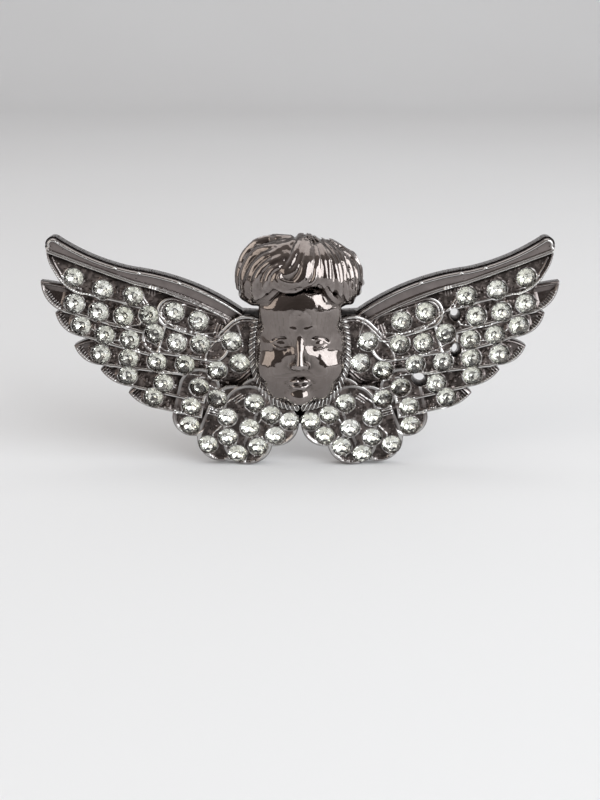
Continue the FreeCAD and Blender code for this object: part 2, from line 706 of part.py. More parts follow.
# ---------------------------------------------------------------------------------------------------------
# Spikes
# ---------------------------------------------------------------------------------------------------------
def candle_pin(side, sign):
    """A round pad soldered to the back of a wing, with a pointed spike along +Y."""
    body = add("PartDesign::Body", f"candle_pin_{side}")
    plane = next(item for item in body.Origin.OriginFeatures if item.Role == "XY_Plane")
    sketch = body.newObject("Sketcher::SketchObject", f"pin_profile_{side}")
    sketch.AttachmentSupport = [(plane, "")]
    sketch.MapMode = "FlatFace"
    pad, thick, wire, cone, shank, point = (size(alias) for alias in (
        "pad_radius", "pad_thickness", "spike_radius", "solder_cone", "spike_shank", "spike_point"))
    shank_end = thick + cone + shank
    corners = [(0, 0), (pad, 0), (pad, thick), (wire + cone, thick), (wire, thick + cone),
               (wire, shank_end), (0, shank_end + point)]
    spots = [Vector(across, along, 0) for across, along in corners]
    edges = [Part.LineSegment(spot, after) for spot, after in zip(spots, spots[1:] + spots[:1])]
    sketch.addGeometry(edges, False)
    join_ends(sketch, len(edges), ())
    pad_top = "sizes.pad_thickness"
    shank_foot = f"{pad_top} + sizes.solder_cone"
    shank_top = f"{shank_foot} + sizes.spike_shank"
    places = [
        ("0", "0"),
        ("sizes.pad_radius", "0"),
        ("sizes.pad_radius", pad_top),
        ("sizes.spike_radius + sizes.solder_cone", pad_top),
        ("sizes.spike_radius", shank_foot),
        ("sizes.spike_radius", shank_top),
        ("0", f"{shank_top} + sizes.spike_point"),
    ]
    for index, (radius, level) in enumerate(places):
        tie(sketch, "DistanceX", index, 1, spots[index].x, radius)
        tie(sketch, "DistanceY", index, 1, spots[index].y, level)
    turned = body.newObject("PartDesign::Revolution", f"pin_turned_{side}")
    turned.Profile = sketch
    turned.ReferenceAxis = (sketch, ["V_Axis"])
    turned.Angle = 360
    sign_text = "" if sign > 0 else "-"
    return bind(body, **{"Placement.Base.x": f"{sign_text}sizes.spike_spacing / 2"})


# ---------------------------------------------------------------------------------------------------------
# Assembly
# ---------------------------------------------------------------------------------------------------------
def mirrored(name, source):
    """The same piece for the left wing."""
    return add("Part::Mirroring", name, Source=source, Base=Vector(0, 0, 0), Normal=Vector(1, 0, 0))


def opening(name):
    """The room that an opening takes, from behind the wing to in front of it."""
    out, up, half_width, half_height, sides = sizes_of("opening", name, OPENING_KEYS)
    corners = oval(half_width, half_height, 2, int(sides))
    reach = size("stone_diameter")
    rings = [[Vector(out + across, level, up + along) for across, along in corners]
             for level in (reach, -size("band_height") - reach)]
    return faceted(name, rings)


def build():
    """Makes every sub-part and returns them."""
    stone = stone_pattern()
    seat = seat_pattern()
    blank = wing_blank()
    doc.recompute()
    rows = {row: stone_placements(row) for row in ROWS}
    kept = {row: [place for number, place in enumerate(places) if (row, number) not in LACKING]
            for row, places in rows.items()}
    recess = head_room("recess", size("head_clearance"))
    cleared = add("Part::Cut", "wing_with_recess", Base=blank, Tool=recess)
    seats_right = copies("seats_right", seat, [place for places in kept.values() for place in places])
    seated = add("Part::Cut", "wing_right_seated", Base=cleared, Tool=seats_right)
    openings = add("Part::Compound", "openings", Links=[opening(name) for name in OPENINGS])
    wing = add("Part::Cut", "wing_right", Base=seated, Tool=openings)
    seats_left = copies("seats_left", seat, [place for places in rows.values() for place in places])
    wing_to_mirror = add("Part::Cut", "wing_left_seated", Base=cleared, Tool=seats_left)
    parts = [wing, mirrored("wing_left", wing_to_mirror), head_casting()]
    parts += [candle_pin("right", 1), candle_pin("left", -1)]
    for row, places in rows.items():
        parts.append(copies(f"stones_right_{row}", stone, kept[row]))
        parts.append(mirrored(f"stones_left_{row}", copies(f"stones_left_{row}_set", stone, places)))
    doc.recompute()
    return parts


def check(parts):
    """Stops before anything is written if an object failed or a shape is empty or broken."""
    for item in doc.Objects:
        if "Invalid" in item.State or "Error" in item.State:
            raise RuntimeError(f"{item.Label} failed: {item.getStatusString()}")
    for part in parts:
        if part.Shape.isNull() or not part.Shape.isValid():
            raise RuntimeError(f"{part.Label} has no valid shape")


fill_sheet()
sub_parts = build()
check(sub_parts)
os.makedirs("parts", exist_ok=True)
for sub_part in sub_parts:
    sub_part.Shape.exportStep(f"parts/{sub_part.Label}.step")
print(f"{len(sub_parts)} sub-parts written")
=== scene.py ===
"""Winged cherub-head candle pin, dressed over its CAD frame: relief wings, a sculpted head, faceted stones.

Shapes are worked out in millimetres as "out" (sideways from the middle), "up" and "height" (forwards from the
flat backs of the wings), and become metres in the frame's axes when a mesh is made.
"""
import math

import bpy
import numpy as np
from mathutils import Matrix, Vector


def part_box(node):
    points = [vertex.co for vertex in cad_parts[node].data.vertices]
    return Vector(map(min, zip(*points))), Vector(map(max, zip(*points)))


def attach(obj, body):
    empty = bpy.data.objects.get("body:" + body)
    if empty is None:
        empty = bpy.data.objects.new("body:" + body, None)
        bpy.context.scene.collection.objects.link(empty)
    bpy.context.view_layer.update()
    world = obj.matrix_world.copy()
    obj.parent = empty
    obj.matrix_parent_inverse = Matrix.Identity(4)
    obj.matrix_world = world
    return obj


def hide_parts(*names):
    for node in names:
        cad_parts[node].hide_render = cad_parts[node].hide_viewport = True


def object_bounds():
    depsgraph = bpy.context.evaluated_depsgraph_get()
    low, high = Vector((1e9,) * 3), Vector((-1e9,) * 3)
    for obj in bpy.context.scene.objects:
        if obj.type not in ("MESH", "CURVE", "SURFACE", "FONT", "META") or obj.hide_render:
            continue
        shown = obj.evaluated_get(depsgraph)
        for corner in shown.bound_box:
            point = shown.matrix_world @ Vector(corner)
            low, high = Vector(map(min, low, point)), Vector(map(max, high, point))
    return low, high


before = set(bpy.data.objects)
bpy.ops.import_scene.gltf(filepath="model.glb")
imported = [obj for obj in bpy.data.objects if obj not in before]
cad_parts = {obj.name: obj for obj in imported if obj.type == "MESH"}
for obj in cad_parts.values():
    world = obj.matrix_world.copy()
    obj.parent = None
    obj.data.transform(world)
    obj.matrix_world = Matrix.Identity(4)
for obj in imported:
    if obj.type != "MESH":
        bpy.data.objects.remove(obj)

CAD_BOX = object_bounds()
MM = 0.001
SIDES = {"right": 1.0, "left": -1.0}
RANDOM = np.random.default_rng(7)
WING_STEP = 0.09
HEAD_STEP = 0.16

# Sizes shared with the frame, in millimetres and degrees.
STONE_RADIUS = 1.55
GLASS_RADIUS = 1.61
TABLE_RADIUS = 0.88
CROWN = 0.62
GIRDLE = 0.14
PAVILION = 1.05
WEB_HEIGHT = 1.5
LEAD_HEIGHT = 2.35
BAND_HEIGHT = 3.15
RIM_RISE = 0.26
QUILL_HEIGHT = 2.3
QUILL_ABOVE = 2.6
QUILL_BELOW = 1.95
QUILL_ROLL = 7.0
QUILL_PITCH = 2.0

# Rows of stones: first stone, heading, turn at each stone, metal between two stones, number of stones.
ROWS = {
    "leading": (28.1, 11.0, 12.0, 10.8, 2.14, 3),
    "quill_2": (25.6, 7.75, -2.0, 11.0, 1.2, 4),
    "quill_3": (29.0, 3.5, 10.8, 11.0, 1.2, 3),
    "quill_4": (19.7, -0.8, 5.0, 1.5, 1.75, 4),
    "quill_5": (23.5, -4.3, 12.7, 0.0, 3.25, 2),
    "quill_6": (25.4, -6.8, 12.0, 0.0, 1.0, 1),
    "shoulder": (17.2, 6.8, 20.7, 0.0, 1.28, 2),
    "middle": (17.0, 2.8, 3.0, 20.0, 0.95, 3),
    "cheek": (11.6, 3.3, -107.6, 89.0, 0.95, 3),
    "elbow": (14.3, -6.9, 33.7, 0.0, 0.55, 2),
    "covert_1": (18.85, -8.4, -84.0, 0.0, 0.55, 2),
    "covert_2": (12.6, -10.2, -90.0, 67.0, 0.7, 3),
    "covert_3": (8.7, -12.2, -110.7, 89.7, 0.75, 3),
    "covert_4": (7.8, -7.55, -141.0, -17.0, 0.42, 3),
    "breast": (4.3, -13.7, -60.0, 0.0, 1.0, 1),
}
# Pointed feathers: heading, how far the tip is ahead and to the left of the last stone, taper and root.
QUILLS = {
    "quill_2": (15.4, 6.4, 2.2, 5.2, 16.0),
    "quill_3": (15.8, 4.8, 0.9, 4.4, 14.0),
    "quill_4": (7.0, 4.7, 0.9, 4.4, 19.0),
    "quill_5": (12.7, 4.8, -0.1, 4.6, 14.0),
    "quill_6": (12.0, 4.4, -0.2, 4.6, 9.0),
}
# Rounded feathers: centre of the round end, heading, radius, straight body, height, roll and pitch.
SCALES = {
    "shoulder": (21.6, 8.2, 18.0, 2.75, 7.5, 2.75, 4.0, 2.0),
    "middle": (24.2, 3.9, 9.0, 2.8, 9.5, 2.6, 5.0, 2.0),
    "cheek": (12.4, -0.2, -45.0, 4.6, 5.0, 2.9, 0.0, 5.0),
    "elbow": (16.6, -5.4, 35.0, 2.75, 5.0, 2.55, -3.0, 3.0),
    "covert_1": (18.7, -10.6, -76.0, 3.55, 6.0, 2.4, 0.0, 7.0),
    "covert_2": (13.8, -14.5, -68.0, 4.25, 6.5, 2.6, 0.0, 7.0),
    "covert_3": (9.1, -14.9, -88.0, 4.35, 6.5, 2.8, 0.0, 7.0),
    "covert_4": (4.3, -11.7, -118.0, 4.1, 5.5, 3.0, 0.0, 5.0),
}
BAND_TOP = [((9.6, 8.4), (17.6, 12.9), (28.0, 15.7)), ((28.0, 15.7), (36.0, 18.4), (40.2, 20.8)),
            ((40.2, 20.8), (41.7, 21.0), (42.4, 19.7))]
BAND_LOW = [((10.6, 6.0), (18.6, 10.1), (28.0, 13.2)), ((28.0, 13.2), (35.6, 16.0), (42.1, 18.5))]
LEAD_TIP = [((42.4, 19.7), (42.3, 17.3), (41.3, 14.9)), ((41.3, 14.9), (39.2, 12.3), (35.8, 11.1))]
LEAD_LOW = [(21.0, 7.6), (8.4, 5.0)]
CAP_WIDTH = 10.7
CAP_TOP = 9.0
CAP_LOW = 3.7
CAP_DEPTH = 6.3
CAP_MIDDLE = 13.3
CAP_SQUARENESS = 2.15
# The sculpted head sits this much lower than its modelling axes.
HEAD_DROP = 1.1
WEB = [(0.0, 8.0), (11.0, 8.6), (27.0, 11.0), (31.0, -2.0), (20.0, -9.0), (12.0, -13.0), (0.0, -11.6)]


# --------------------------------------------------------------------------------------------------------
# Flat geometry in the wings' own plane
# --------------------------------------------------------------------------------------------------------
def arc(start, middle, end, count=24):
    """Points of the arc through three points."""
    a, b, c = (np.array(p, float) for p in (start, middle, end))
    twist = (b - a)[0] * (c - a)[1] - (b - a)[1] * (c - a)[0]
    if abs(twist) < 1e-6:
        return a + (c - a) * np.linspace(0, 1, count)[:, None]
    squares = [p @ p for p in (a, b, c)]
    scale = 2 * (a[0] * (b[1] - c[1]) + b[0] * (c[1] - a[1]) + c[0] * (a[1] - b[1]))
    centre = np.array([
        (squares[0] * (b[1] - c[1]) + squares[1] * (c[1] - a[1]) + squares[2] * (a[1] - b[1])) / scale,
        (squares[0] * (c[0] - b[0]) + squares[1] * (a[0] - c[0]) + squares[2] * (b[0] - a[0])) / scale,
    ])
    first = math.atan2(*(a - centre)[::-1])
    last = math.atan2(*(c - centre)[::-1])
    sweep = (last - first) % (2 * math.pi)
    if twist < 0:
        sweep -= 2 * math.pi
    angles = first + sweep * np.linspace(0, 1, count)
    return centre + np.linalg.norm(a - centre) * np.column_stack([np.cos(angles), np.sin(angles)])


def chain(arcs, count=24):
    """Points of arcs that follow one another."""
    return np.vstack([arc(*piece, count=count) for piece in arcs])


def arc_leaving(start, direction, end, count=24):
    """Points of the arc that leaves start along direction and ends at end."""
    start, direction, end = (np.array(p, float) for p in (start, direction, end))
    chord = end - start
    turn = math.atan2(direction[0] * chord[1] - direction[1] * chord[0], direction @ chord)
    cos, sin = math.cos(turn / 2), math.sin(turn / 2)
    half = np.array([direction[0] * cos - direction[1] * sin, direction[0] * sin + direction[1] * cos])
    return arc(start, start + half * np.linalg.norm(chord) / (2 * math.cos(turn / 2)), end, count)


def line_distance(points, out, up):
    """Distance to an open chain of points, and how far along the chain the nearest spot is."""
    best = np.full(out.shape, 1e9)
    along = np.zeros(out.shape)
    run = 0.0
    for a, b in zip(points[:-1], points[1:]):
        span = b - a
        length = math.hypot(*span)
        if length < 1e-9:
            continue
        t = np.clip(((out - a[0]) * span[0] + (up - a[1]) * span[1]) / length ** 2, 0, 1)
        gap = np.hypot(out - a[0] - t * span[0], up - a[1] - t * span[1])
        nearer = gap < best
        best = np.where(nearer, gap, best)
        along = np.where(nearer, run + t * length, along)
        run += length
    return best, along


def inside_distance(polygon, out, up):
    """Distance to the edge of a closed polygon, positive inside it."""
    ring = np.vstack([polygon, polygon[:1]])
    gap, _ = line_distance(ring, out, up)
    inside = np.zeros(out.shape, bool)
    for a, b in zip(ring[:-1], ring[1:]):
        if a[1] == b[1]:
            continue
        crosses = (a[1] > up) != (b[1] > up)
        inside ^= crosses & (out < (b[0] - a[0]) * (up - a[1]) / (b[1] - a[1]) + a[0])
    return np.where(inside, gap, -gap)


def smooth(value, low, high):
    """0 below low, 1 above high, and an easy S between them."""
    t = np.clip((value - low) / (high - low), 0, 1)
    return t * t * (3 - 2 * t)


def wire(gap, half_width, rise):
    """Rounded ridge over a line, from the distance to the line."""
    return rise * np.sqrt(np.clip(1 - (gap / half_width) ** 2, 0, 1))


def noise_maker(seed, cells):
    """Smooth value noise over the plane, with the given size of one cell."""
    table = np.random.default_rng(seed).random((256, 256)) * 2 - 1

    def noise(x, y):
        x, y = x / cells + 100.0, y / cells + 100.0
        column, line = np.floor(x).astype(int), np.floor(y).astype(int)
        fx, fy = x - column, y - line
        fx, fy = fx * fx * (3 - 2 * fx), fy * fy * (3 - 2 * fy)
        corner = lambda a, b: table[(column + a) % 256, (line + b) % 256]
        low = corner(0, 0) * (1 - fx) + corner(1, 0) * fx
        high = corner(0, 1) * (1 - fx) + corner(1, 1) * fx
        return low * (1 - fy) + high * fy

    return noise


COARSE_NOISE = noise_maker(3, 1.1)
MIDDLE_NOISE = noise_maker(5, 0.5)
FINE_NOISE = noise_maker(8, 0.24)


# --------------------------------------------------------------------------------------------------------
# Frames of the feathers and stones
# --------------------------------------------------------------------------------------------------------
def turn_about(axis, degrees):
    return np.array(Matrix.Rotation(math.radians(degrees), 3, axis))


def feather_frame(out, up, height, heading, roll, pitch):
    """Origin and axes of a feather's face: along its heading, to its left, and out of its front."""
    cos, sin = math.cos(math.radians(heading)), math.sin(math.radians(heading))
    facing = np.array([[cos, -sin, 0], [0, 0, -1], [sin, cos, 0]])
    return np.array([out, -height, up]), facing @ turn_about("X", -roll) @ turn_about("Y", pitch)


def row_points(row):
    out, up, heading, turn, gap, count = ROWS[row]
    points = []
    for _ in range(count):
        points.append((out, up))
        out += (2 * STONE_RADIUS + gap) * math.cos(math.radians(heading))
        up += (2 * STONE_RADIUS + gap) * math.sin(math.radians(heading))
        heading += turn
    return points


def frame_of(feather):
    if feather == "breast":
        feather = "covert_4"
    if feather == "leading":
        return feather_frame(0, 0, LEAD_HEIGHT, 0, 0, 0)
    if feather in QUILLS:
        out, up = row_points(feather)[-1]
        return feather_frame(out, up, QUILL_HEIGHT, QUILLS[feather][0], QUILL_ROLL, QUILL_PITCH)
    out, up, heading, _, _, height, roll, pitch = SCALES[feather]
    return feather_frame(out, up, height, heading, roll, pitch)


def face_height(place, out, up):
    """Height of a feather's face, forwards from the wings' backs."""
    base, axes = place
    normal = axes[:, 2]
    return -base[1] + (normal[0] * (out - base[0]) + normal[2] * (up - base[2])) / normal[1]


def on_face(place, out, up):
    """Position on a feather's face: along it and to its left."""
    base, axes = place
    gap = np.stack([out - base[0], -face_height(place, out, up) - base[1], up - base[2]])
    along = np.tensordot(axes[:, 0], gap, 1)
    left = np.tensordot(axes[:, 1], gap, 1)
    return along, left


def quill_outline(feather):
    _, ahead, left, taper, root = QUILLS[feather]
    low = arc_leaving((ahead - taper, -QUILL_BELOW), (1, 0), (ahead, left))
    high = arc_leaving((ahead - taper, QUILL_ABOVE), (1, 0), (ahead, left))
    return np.vstack([[(-root, -QUILL_BELOW)], low, high[::-1], [(-root, QUILL_ABOVE)]])


def scale_outline(feather):
    _, _, _, radius, body, _, _, _ = SCALES[feather]
    turns = np.radians(np.linspace(-90, 90, 28))
    end = np.column_stack([radius * np.cos(turns), radius * np.sin(turns)])
    return np.vstack([end, -end - [body, 0]])


# --------------------------------------------------------------------------------------------------------
# Relief of one wing
# --------------------------------------------------------------------------------------------------------
def head_outline():
    """Outline that the head covers: an oval face under a wider, squarer cap of hair."""
    turns = np.radians(np.arange(0, 360, 4))

    def oval(half_width, top, low, middle, squareness):
        cos, sin = np.cos(turns), np.sin(turns)
        power = 2 / squareness
        return np.column_stack([half_width * np.sign(cos) * np.abs(cos) ** power,
                                middle + np.where(sin > 0, top, low) * np.sign(sin) * np.abs(sin) ** power])

    return (oval(7.8, 9.9, 9.9, 3.1 - HEAD_DROP, 2.3),
            oval(CAP_WIDTH, CAP_TOP, CAP_LOW, CAP_MIDDLE - HEAD_DROP, CAP_SQUARENESS))


EXTENT = (0.0, 45.2, -20.0, 22.6)
GRID_OUT, GRID_UP = np.meshgrid(np.arange(EXTENT[0], EXTENT[1], WING_STEP),
                                np.arange(EXTENT[2], EXTENT[3], WING_STEP), indexing="ij")
SLOPE = 3.2


class Relief:
    """Front of a wing over the grid: its height, the distance inside its outline, and how polished it is."""

    def __init__(self):
        self.height = np.full(GRID_OUT.shape, -9.0)
        self.reach = np.full(GRID_OUT.shape, -9.0)
        self.polish = np.zeros(GRID_OUT.shape)

    def lay(self, place, gap, profile, polish):
        """Lays a form over what is there, with steep sides outside its edge."""
        height = face_height(place, GRID_OUT, GRID_UP) + np.where(gap < 0, SLOPE * gap - 0.2, profile)
        height = np.where(gap > -0.8, height, -9.0)
        self.polish = np.where(height > self.height, np.where(gap > 0, polish, 0.3), self.polish)
        self.height = np.maximum(height, self.height)
        self.reach = np.maximum(gap, self.reach)

    def ridge(self, gap, half_width, rise, where=True):
        """Adds a polished rounded ridge over a line."""
        added = wire(gap, half_width, rise) * where
        self.height = self.height + added
        self.polish = np.maximum(self.polish, np.clip(added / rise * 1.6, 0, 1))


def feather_profile(gap, rough, rim_width=0.26):
    """Rounded rim over a sunk, roughly cast field, by the distance inside the edge, and how polished it is."""
    bead = wire(gap - rim_width, rim_width + 0.02, RIM_RISE)
    field = -RIM_RISE + rough * smooth(gap, 0.35, 0.7)
    profile = np.maximum(field, np.where(gap < rim_width, -0.2, -RIM_RISE) * 1.0)
    profile = np.maximum(np.where(gap < rim_width, -0.2, field), -RIM_RISE + bead)
    return profile, np.clip(bead / RIM_RISE * 1.5, 0, 1)


def stroke_gap(centre, heading, length):
    """Distance to a short straight line."""
    reach = np.array([math.cos(math.radians(heading)), math.sin(math.radians(heading))]) * length / 2
    middle = np.array(centre)
    return line_distance(np.array([middle - reach, middle + reach]), GRID_OUT, GRID_UP)[0]


# Half sizes of the ring of twisted cord round the face.
CORD_WIDE = 8.1
CORD_TALL = 10.25
# Groups of short raised strokes: middle, heading, number of strokes and length.
STROKES = [((24.9, 12.0), 100, 3, 1.5), ((26.2, 9.9), 55, 2, 1.6), ((29.9, -4.9), 12, 3, 1.6),
           ((28.0, 1.2), 82, 3, 1.2), ((18.6, -7.3), 22, 2, 2.3), ((21.4, -9.3), 18, 2, 1.4),
           ((15.0, -9.3), 15, 3, 1.7), ((22.2, -4.4), 30, 2, 1.6), ((13.9, 5.3), 110, 3, 1.8),
           ((10.6, -6.6), -35, 3, 1.7), ((33.2, -2.1), 12, 2, 1.1), ((37.2, 6.3), 18, 2, 1.1),
           ((16.6, -0.6), 10, 2, 1.5), ((31.9, 5.8), 15, 2, 1.3), ((20.3, 5.6), 20, 2, 1.6),
           ((6.5, -14.6), 60, 2, 1.5), ((11.4, -15.6), 80, 2, 1.4), ((24.2, -2.3), 5, 2, 1.4)]
# Fine raised lines that run along and between the rows.
LINES = [[(14.2, 4.9), (17.5, 4.6), (21.5, 5.9), (25.4, 9.2)], [(25.2, 9.0), (27.2, 6.2), (31.0, 5.7), (35.5, 7.0)],
         [(17.0, 0.6), (20.4, 0.9), (23.2, 1.8), (25.2, 3.0)], [(27.3, 3.0), (31.5, 3.4), (36.0, 5.6)],
         [(17.2, -2.5), (21.0, -2.2), (26.0, -2.4)], [(27.8, -1.8), (31.0, -1.8), (35.0, -0.5)],
         [(11.1, 7.6), (10.2, 5.0), (9.7, 2.4)], [(13.0, -5.4), (15.4, -4.6), (17.6, -3.0)],
         [(10.4, -5.8), (12.6, -7.4), (15.8, -8.3)], [(4.2, -9.6), (6.8, -10.6), (8.4, -13.4), (8.0, -17.6)],
         [(13.7, -11.9), (15.2, -13.4), (15.4, -16.0)]]


def wing_relief():
    relief = Relief()
    rough = 0.1 * COARSE_NOISE(GRID_OUT, GRID_UP) + 0.1 * MIDDLE_NOISE(GRID_OUT, GRID_UP)
    rough += 0.05 * FINE_NOISE(GRID_OUT, GRID_UP)
    rough += 0.16 * smooth(MIDDLE_NOISE(GRID_OUT + 31, GRID_UP + 17), 0.45, 0.7)
    relief.lay(feather_frame(0, 0, WEB_HEIGHT, 0, 0, 0), inside_distance(np.array(WEB), GRID_OUT, GRID_UP), rough, 0.0)

    for feather in ("quill_6", "quill_5", "quill_4", "quill_3", "quill_2"):
        place = frame_of(feather)
        along, left = on_face(place, GRID_OUT, GRID_UP)
        gap = inside_distance(quill_outline(feather), along, left)
        _, ahead, _, taper, _ = QUILLS[feather]
        tip = smooth(along, 1.75, 2.3)
        profile, polish = feather_profile(gap, rough * (1 - tip))
        bent = left + QUILL_BELOW + 0.33 * np.clip(along - ahead + taper, 0, None)
        low_edge = tip * smooth(gap, 0.3, 0.4) * (1 - smooth(gap, 1.05, 1.2)) * (left < 0.9)
        hatch = 0.36 * np.clip(np.sin((along * 0.85 + bent * 0.8) * 2 * math.pi / 0.62), 0, 1) * low_edge
        dish = 0.14 * tip * smooth(gap, 0.45, 1.3)
        profile = profile + hatch - dish
        relief.lay(place, gap, profile, np.maximum(polish, 0.75 * tip))

    lead = np.vstack([chain(BAND_TOP), chain(LEAD_TIP), LEAD_LOW])
    gap = inside_distance(lead, GRID_OUT, GRID_UP)
    profile, polish = feather_profile(gap, rough)
    relief.lay(frame_of("leading"), gap, profile, polish)
    relief.ridge(gap - 0.95, 0.15, 0.15, smooth(GRID_OUT, 36, 38) * (gap > 0))
    from_edge, run = line_distance(chain(LEAD_TIP), GRID_OUT, GRID_UP)
    bead = np.hypot(from_edge - 0.3, (run % 0.46) - 0.23)
    relief.ridge(bead, 0.2, 0.14, (gap > 0) & (gap < 0.7))

    for feather in ("middle", "shoulder", "covert_1", "elbow", "covert_2", "covert_3", "cheek", "covert_4"):
        place = frame_of(feather)
        along, left = on_face(place, GRID_OUT, GRID_UP)
        gap = inside_distance(scale_outline(feather), along, left)
        profile, polish = feather_profile(gap, rough)
        if feather.startswith("covert"):
            profile = np.where(gap < 0.6, np.minimum(profile, 0.11 - RIM_RISE), profile)
            polish = 0.5 * polish
        relief.lay(place, gap, profile, polish)
        if feather in ("shoulder", "cheek"):
            relief.ridge(gap - 0.8, 0.15, 0.16, gap > 0)

    lobes = (GRID_UP < -8.6) | ((GRID_UP < -4.5) & (GRID_OUT > 20.0) & (GRID_OUT < 23.5))
    relief.ridge(relief.reach - 0.42, 0.42, 0.26, lobes & (relief.reach > 0) & (GRID_OUT > 0.4))

    top, low = chain(BAND_TOP), chain(BAND_LOW)
    gap = inside_distance(np.vstack([top, low[::-1]]), GRID_OUT, GRID_UP)
    from_top, run = line_distance(top, GRID_OUT, GRID_UP)
    from_low, _ = line_distance(low, GRID_OUT, GRID_UP)
    width = from_top + from_low
    across = from_top / np.maximum(width, 1e-6)
    tube = -0.42 + wire(from_top - 0.4, 0.42, 0.42)
    channel = -0.2 - 0.34 * np.sin(np.clip((across - 0.18) / 0.7, 0, 1) * math.pi) * np.clip(width / 2.4, 0.4, 1)
    lines = -0.42 + np.maximum(wire(from_low - 0.15, 0.15, 0.3), wire(from_low - 0.5, 0.13, 0.2))
    profile = np.where(from_top < 0.4, tube, np.maximum(tube, channel))
    profile = np.where((from_low < 0.66) & (from_top > 0.8), np.maximum(channel - 0.1, lines), profile)
    relief.lay(feather_frame(0, 0, BAND_HEIGHT, 0, 0, 0), gap, profile + 0.1 * rough, 0.85)
    for place in (11.9, 18.9, 22.9):
        relief.ridge(np.hypot(run - place, from_top - 0.35), 0.3, 0.22, gap > 0)
    shoulder = np.where((from_top < 1.0) & (gap > 0), 1 - np.clip(from_top / 0.95, 0, 1), 0)
    relief.height = relief.height - 1.3 * (1 - np.sqrt(1 - shoulder ** 2))

    for centre, heading, count, length in STROKES:
        side = np.array([-math.sin(math.radians(heading)), math.cos(math.radians(heading))])
        for number in range(count):
            middle = np.array(centre) + side * (number - (count - 1) / 2) * 0.46
            relief.ridge(stroke_gap(middle, heading, length), 0.14, 0.16, relief.reach > 0.5)
    for points in LINES:
        relief.ridge(line_distance(np.array(points), GRID_OUT, GRID_UP)[0], 0.13, 0.15, relief.reach > 0.5)

    face, hair = head_outline()
    under_head = np.maximum(inside_distance(face, GRID_OUT, GRID_UP), inside_distance(hair, GRID_OUT, GRID_UP))
    cord_middle = 3.1 - HEAD_DROP
    ring = (np.abs(GRID_OUT / CORD_WIDE) ** 2.3 + np.abs((GRID_UP - cord_middle) / CORD_TALL) ** 2.3) ** (1 / 2.3)
    turn = np.arctan2(GRID_OUT / CORD_WIDE, (cord_middle - GRID_UP) / CORD_TALL)
    from_cord = (ring - 1) * np.hypot(GRID_OUT, GRID_UP - cord_middle) / np.maximum(ring, 0.2)
    twist = np.clip(np.sin(turn * CORD_TALL * 2 * math.pi / 0.95 + from_cord * 5.0), -0.4, 1)
    cord = 3.2 + wire(from_cord, 0.72, 0.8) * (0.62 + 0.38 * twist)
    on_cord = (np.abs(from_cord) < 0.72) & (turn < math.radians(120)) & (GRID_OUT > 0.1)
    relief.polish = np.where(on_cord, 0.5 + 0.5 * twist, relief.polish)
    relief.height = np.where(on_cord, np.maximum(relief.height, cord), relief.height)
    relief.height = np.where(under_head > 0.7, np.minimum(relief.height, WEB_HEIGHT), relief.height)
    return relief


def set_seats(relief, spots):
    """Sinks a bowl with a thin collar round it for each stone."""
    for row, spot in spots:
        place = frame_of(row)
        near = (np.abs(GRID_OUT - spot[0]) < 2.4) & (np.abs(GRID_UP - spot[1]) < 2.4)
        along, left = on_face(place, GRID_OUT[near], GRID_UP[near])
        middle = on_face(place, np.array([spot[0]]), np.array([spot[1]]))
        away = np.hypot(along - middle[0], left - middle[1])
        turn = np.arctan2(left - middle[1], along - middle[0])
        level = face_height(place, GRID_OUT[near], GRID_UP[near]) - RIM_RISE
        uneven = 0.5 + 0.5 * np.sin(turn * 4 + spot[0] * 3) * np.sin(turn * 3 + spot[1] * 5)
        collar = level - 0.06 + wire(away - 1.74, 0.14, 0.06 + 0.12 * uneven)
        bowl = level - 0.35 - 1.2 * np.clip(1 - away / 1.5, 0, 1)
        height = np.where((away < 1.87) & (collar > relief.height[near]), collar, relief.height[near])
        relief.polish[near] = np.where((away > 1.64) & (away < 1.87), 0.2 + 0.4 * uneven, relief.polish[near])
        relief.height[near] = np.where(away < 1.63, bowl, height)
        relief.polish[near] = np.where(away < 1.63, 0.0, relief.polish[near])


def blurred(values, radius):
    """Box blur, twice, over the grid."""
    count = max(1, int(radius / WING_STEP))
    for _ in range(2):
        for axis in (0, 1):
            pad = [(count, count) if a == axis else (0, 0) for a in (0, 1)]
            sums = np.cumsum(np.pad(values, pad, mode="edge"), axis=axis)
            head = np.take(sums, range(2 * count, sums.shape[axis]), axis=axis)
            tail = np.concatenate([np.zeros_like(np.take(sums, [0], axis=axis)),
                                   np.take(sums, range(0, sums.shape[axis] - 2 * count - 1), axis=axis)], axis=axis)
            values = (head - tail) / (2 * count + 1)
    return values


def new_piece(name, corners, faces, material, node, shade_smooth=True):
    """A mesh object from corners in millimetres, riding on the part and standing for a CAD node."""
    mesh = bpy.data.meshes.new(name)
    corners = np.asarray(corners, float) * MM
    faces = [np.asarray(f) for f in faces] if not isinstance(faces, np.ndarray) else faces
    sizes = np.full(len(faces), faces.shape[1]) if isinstance(faces, np.ndarray) else np.array([len(f) for f in faces])
    flat = faces.ravel() if isinstance(faces, np.ndarray) else np.concatenate(faces)
    mesh.vertices.add(len(corners))
    mesh.vertices.foreach_set("co", corners.ravel())
    mesh.loops.add(len(flat))
    mesh.loops.foreach_set("vertex_index", flat.astype(np.int32))
    mesh.polygons.add(len(sizes))
    mesh.polygons.foreach_set("loop_start", np.concatenate([[0], np.cumsum(sizes)[:-1]]).astype(np.int32))
    mesh.polygons.foreach_set("loop_total", sizes.astype(np.int32))
    mesh.polygons.foreach_set("use_smooth", np.full(len(sizes), shade_smooth))
    mesh.update(calc_edges=True)
    mesh.validate()
    piece = bpy.data.objects.new(name, mesh)
    bpy.context.scene.collection.objects.link(piece)
    for entry in material if isinstance(material, (list, tuple)) else [material]:
        mesh.materials.append(entry)
    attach(piece, "root")
    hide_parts(node)
    return piece


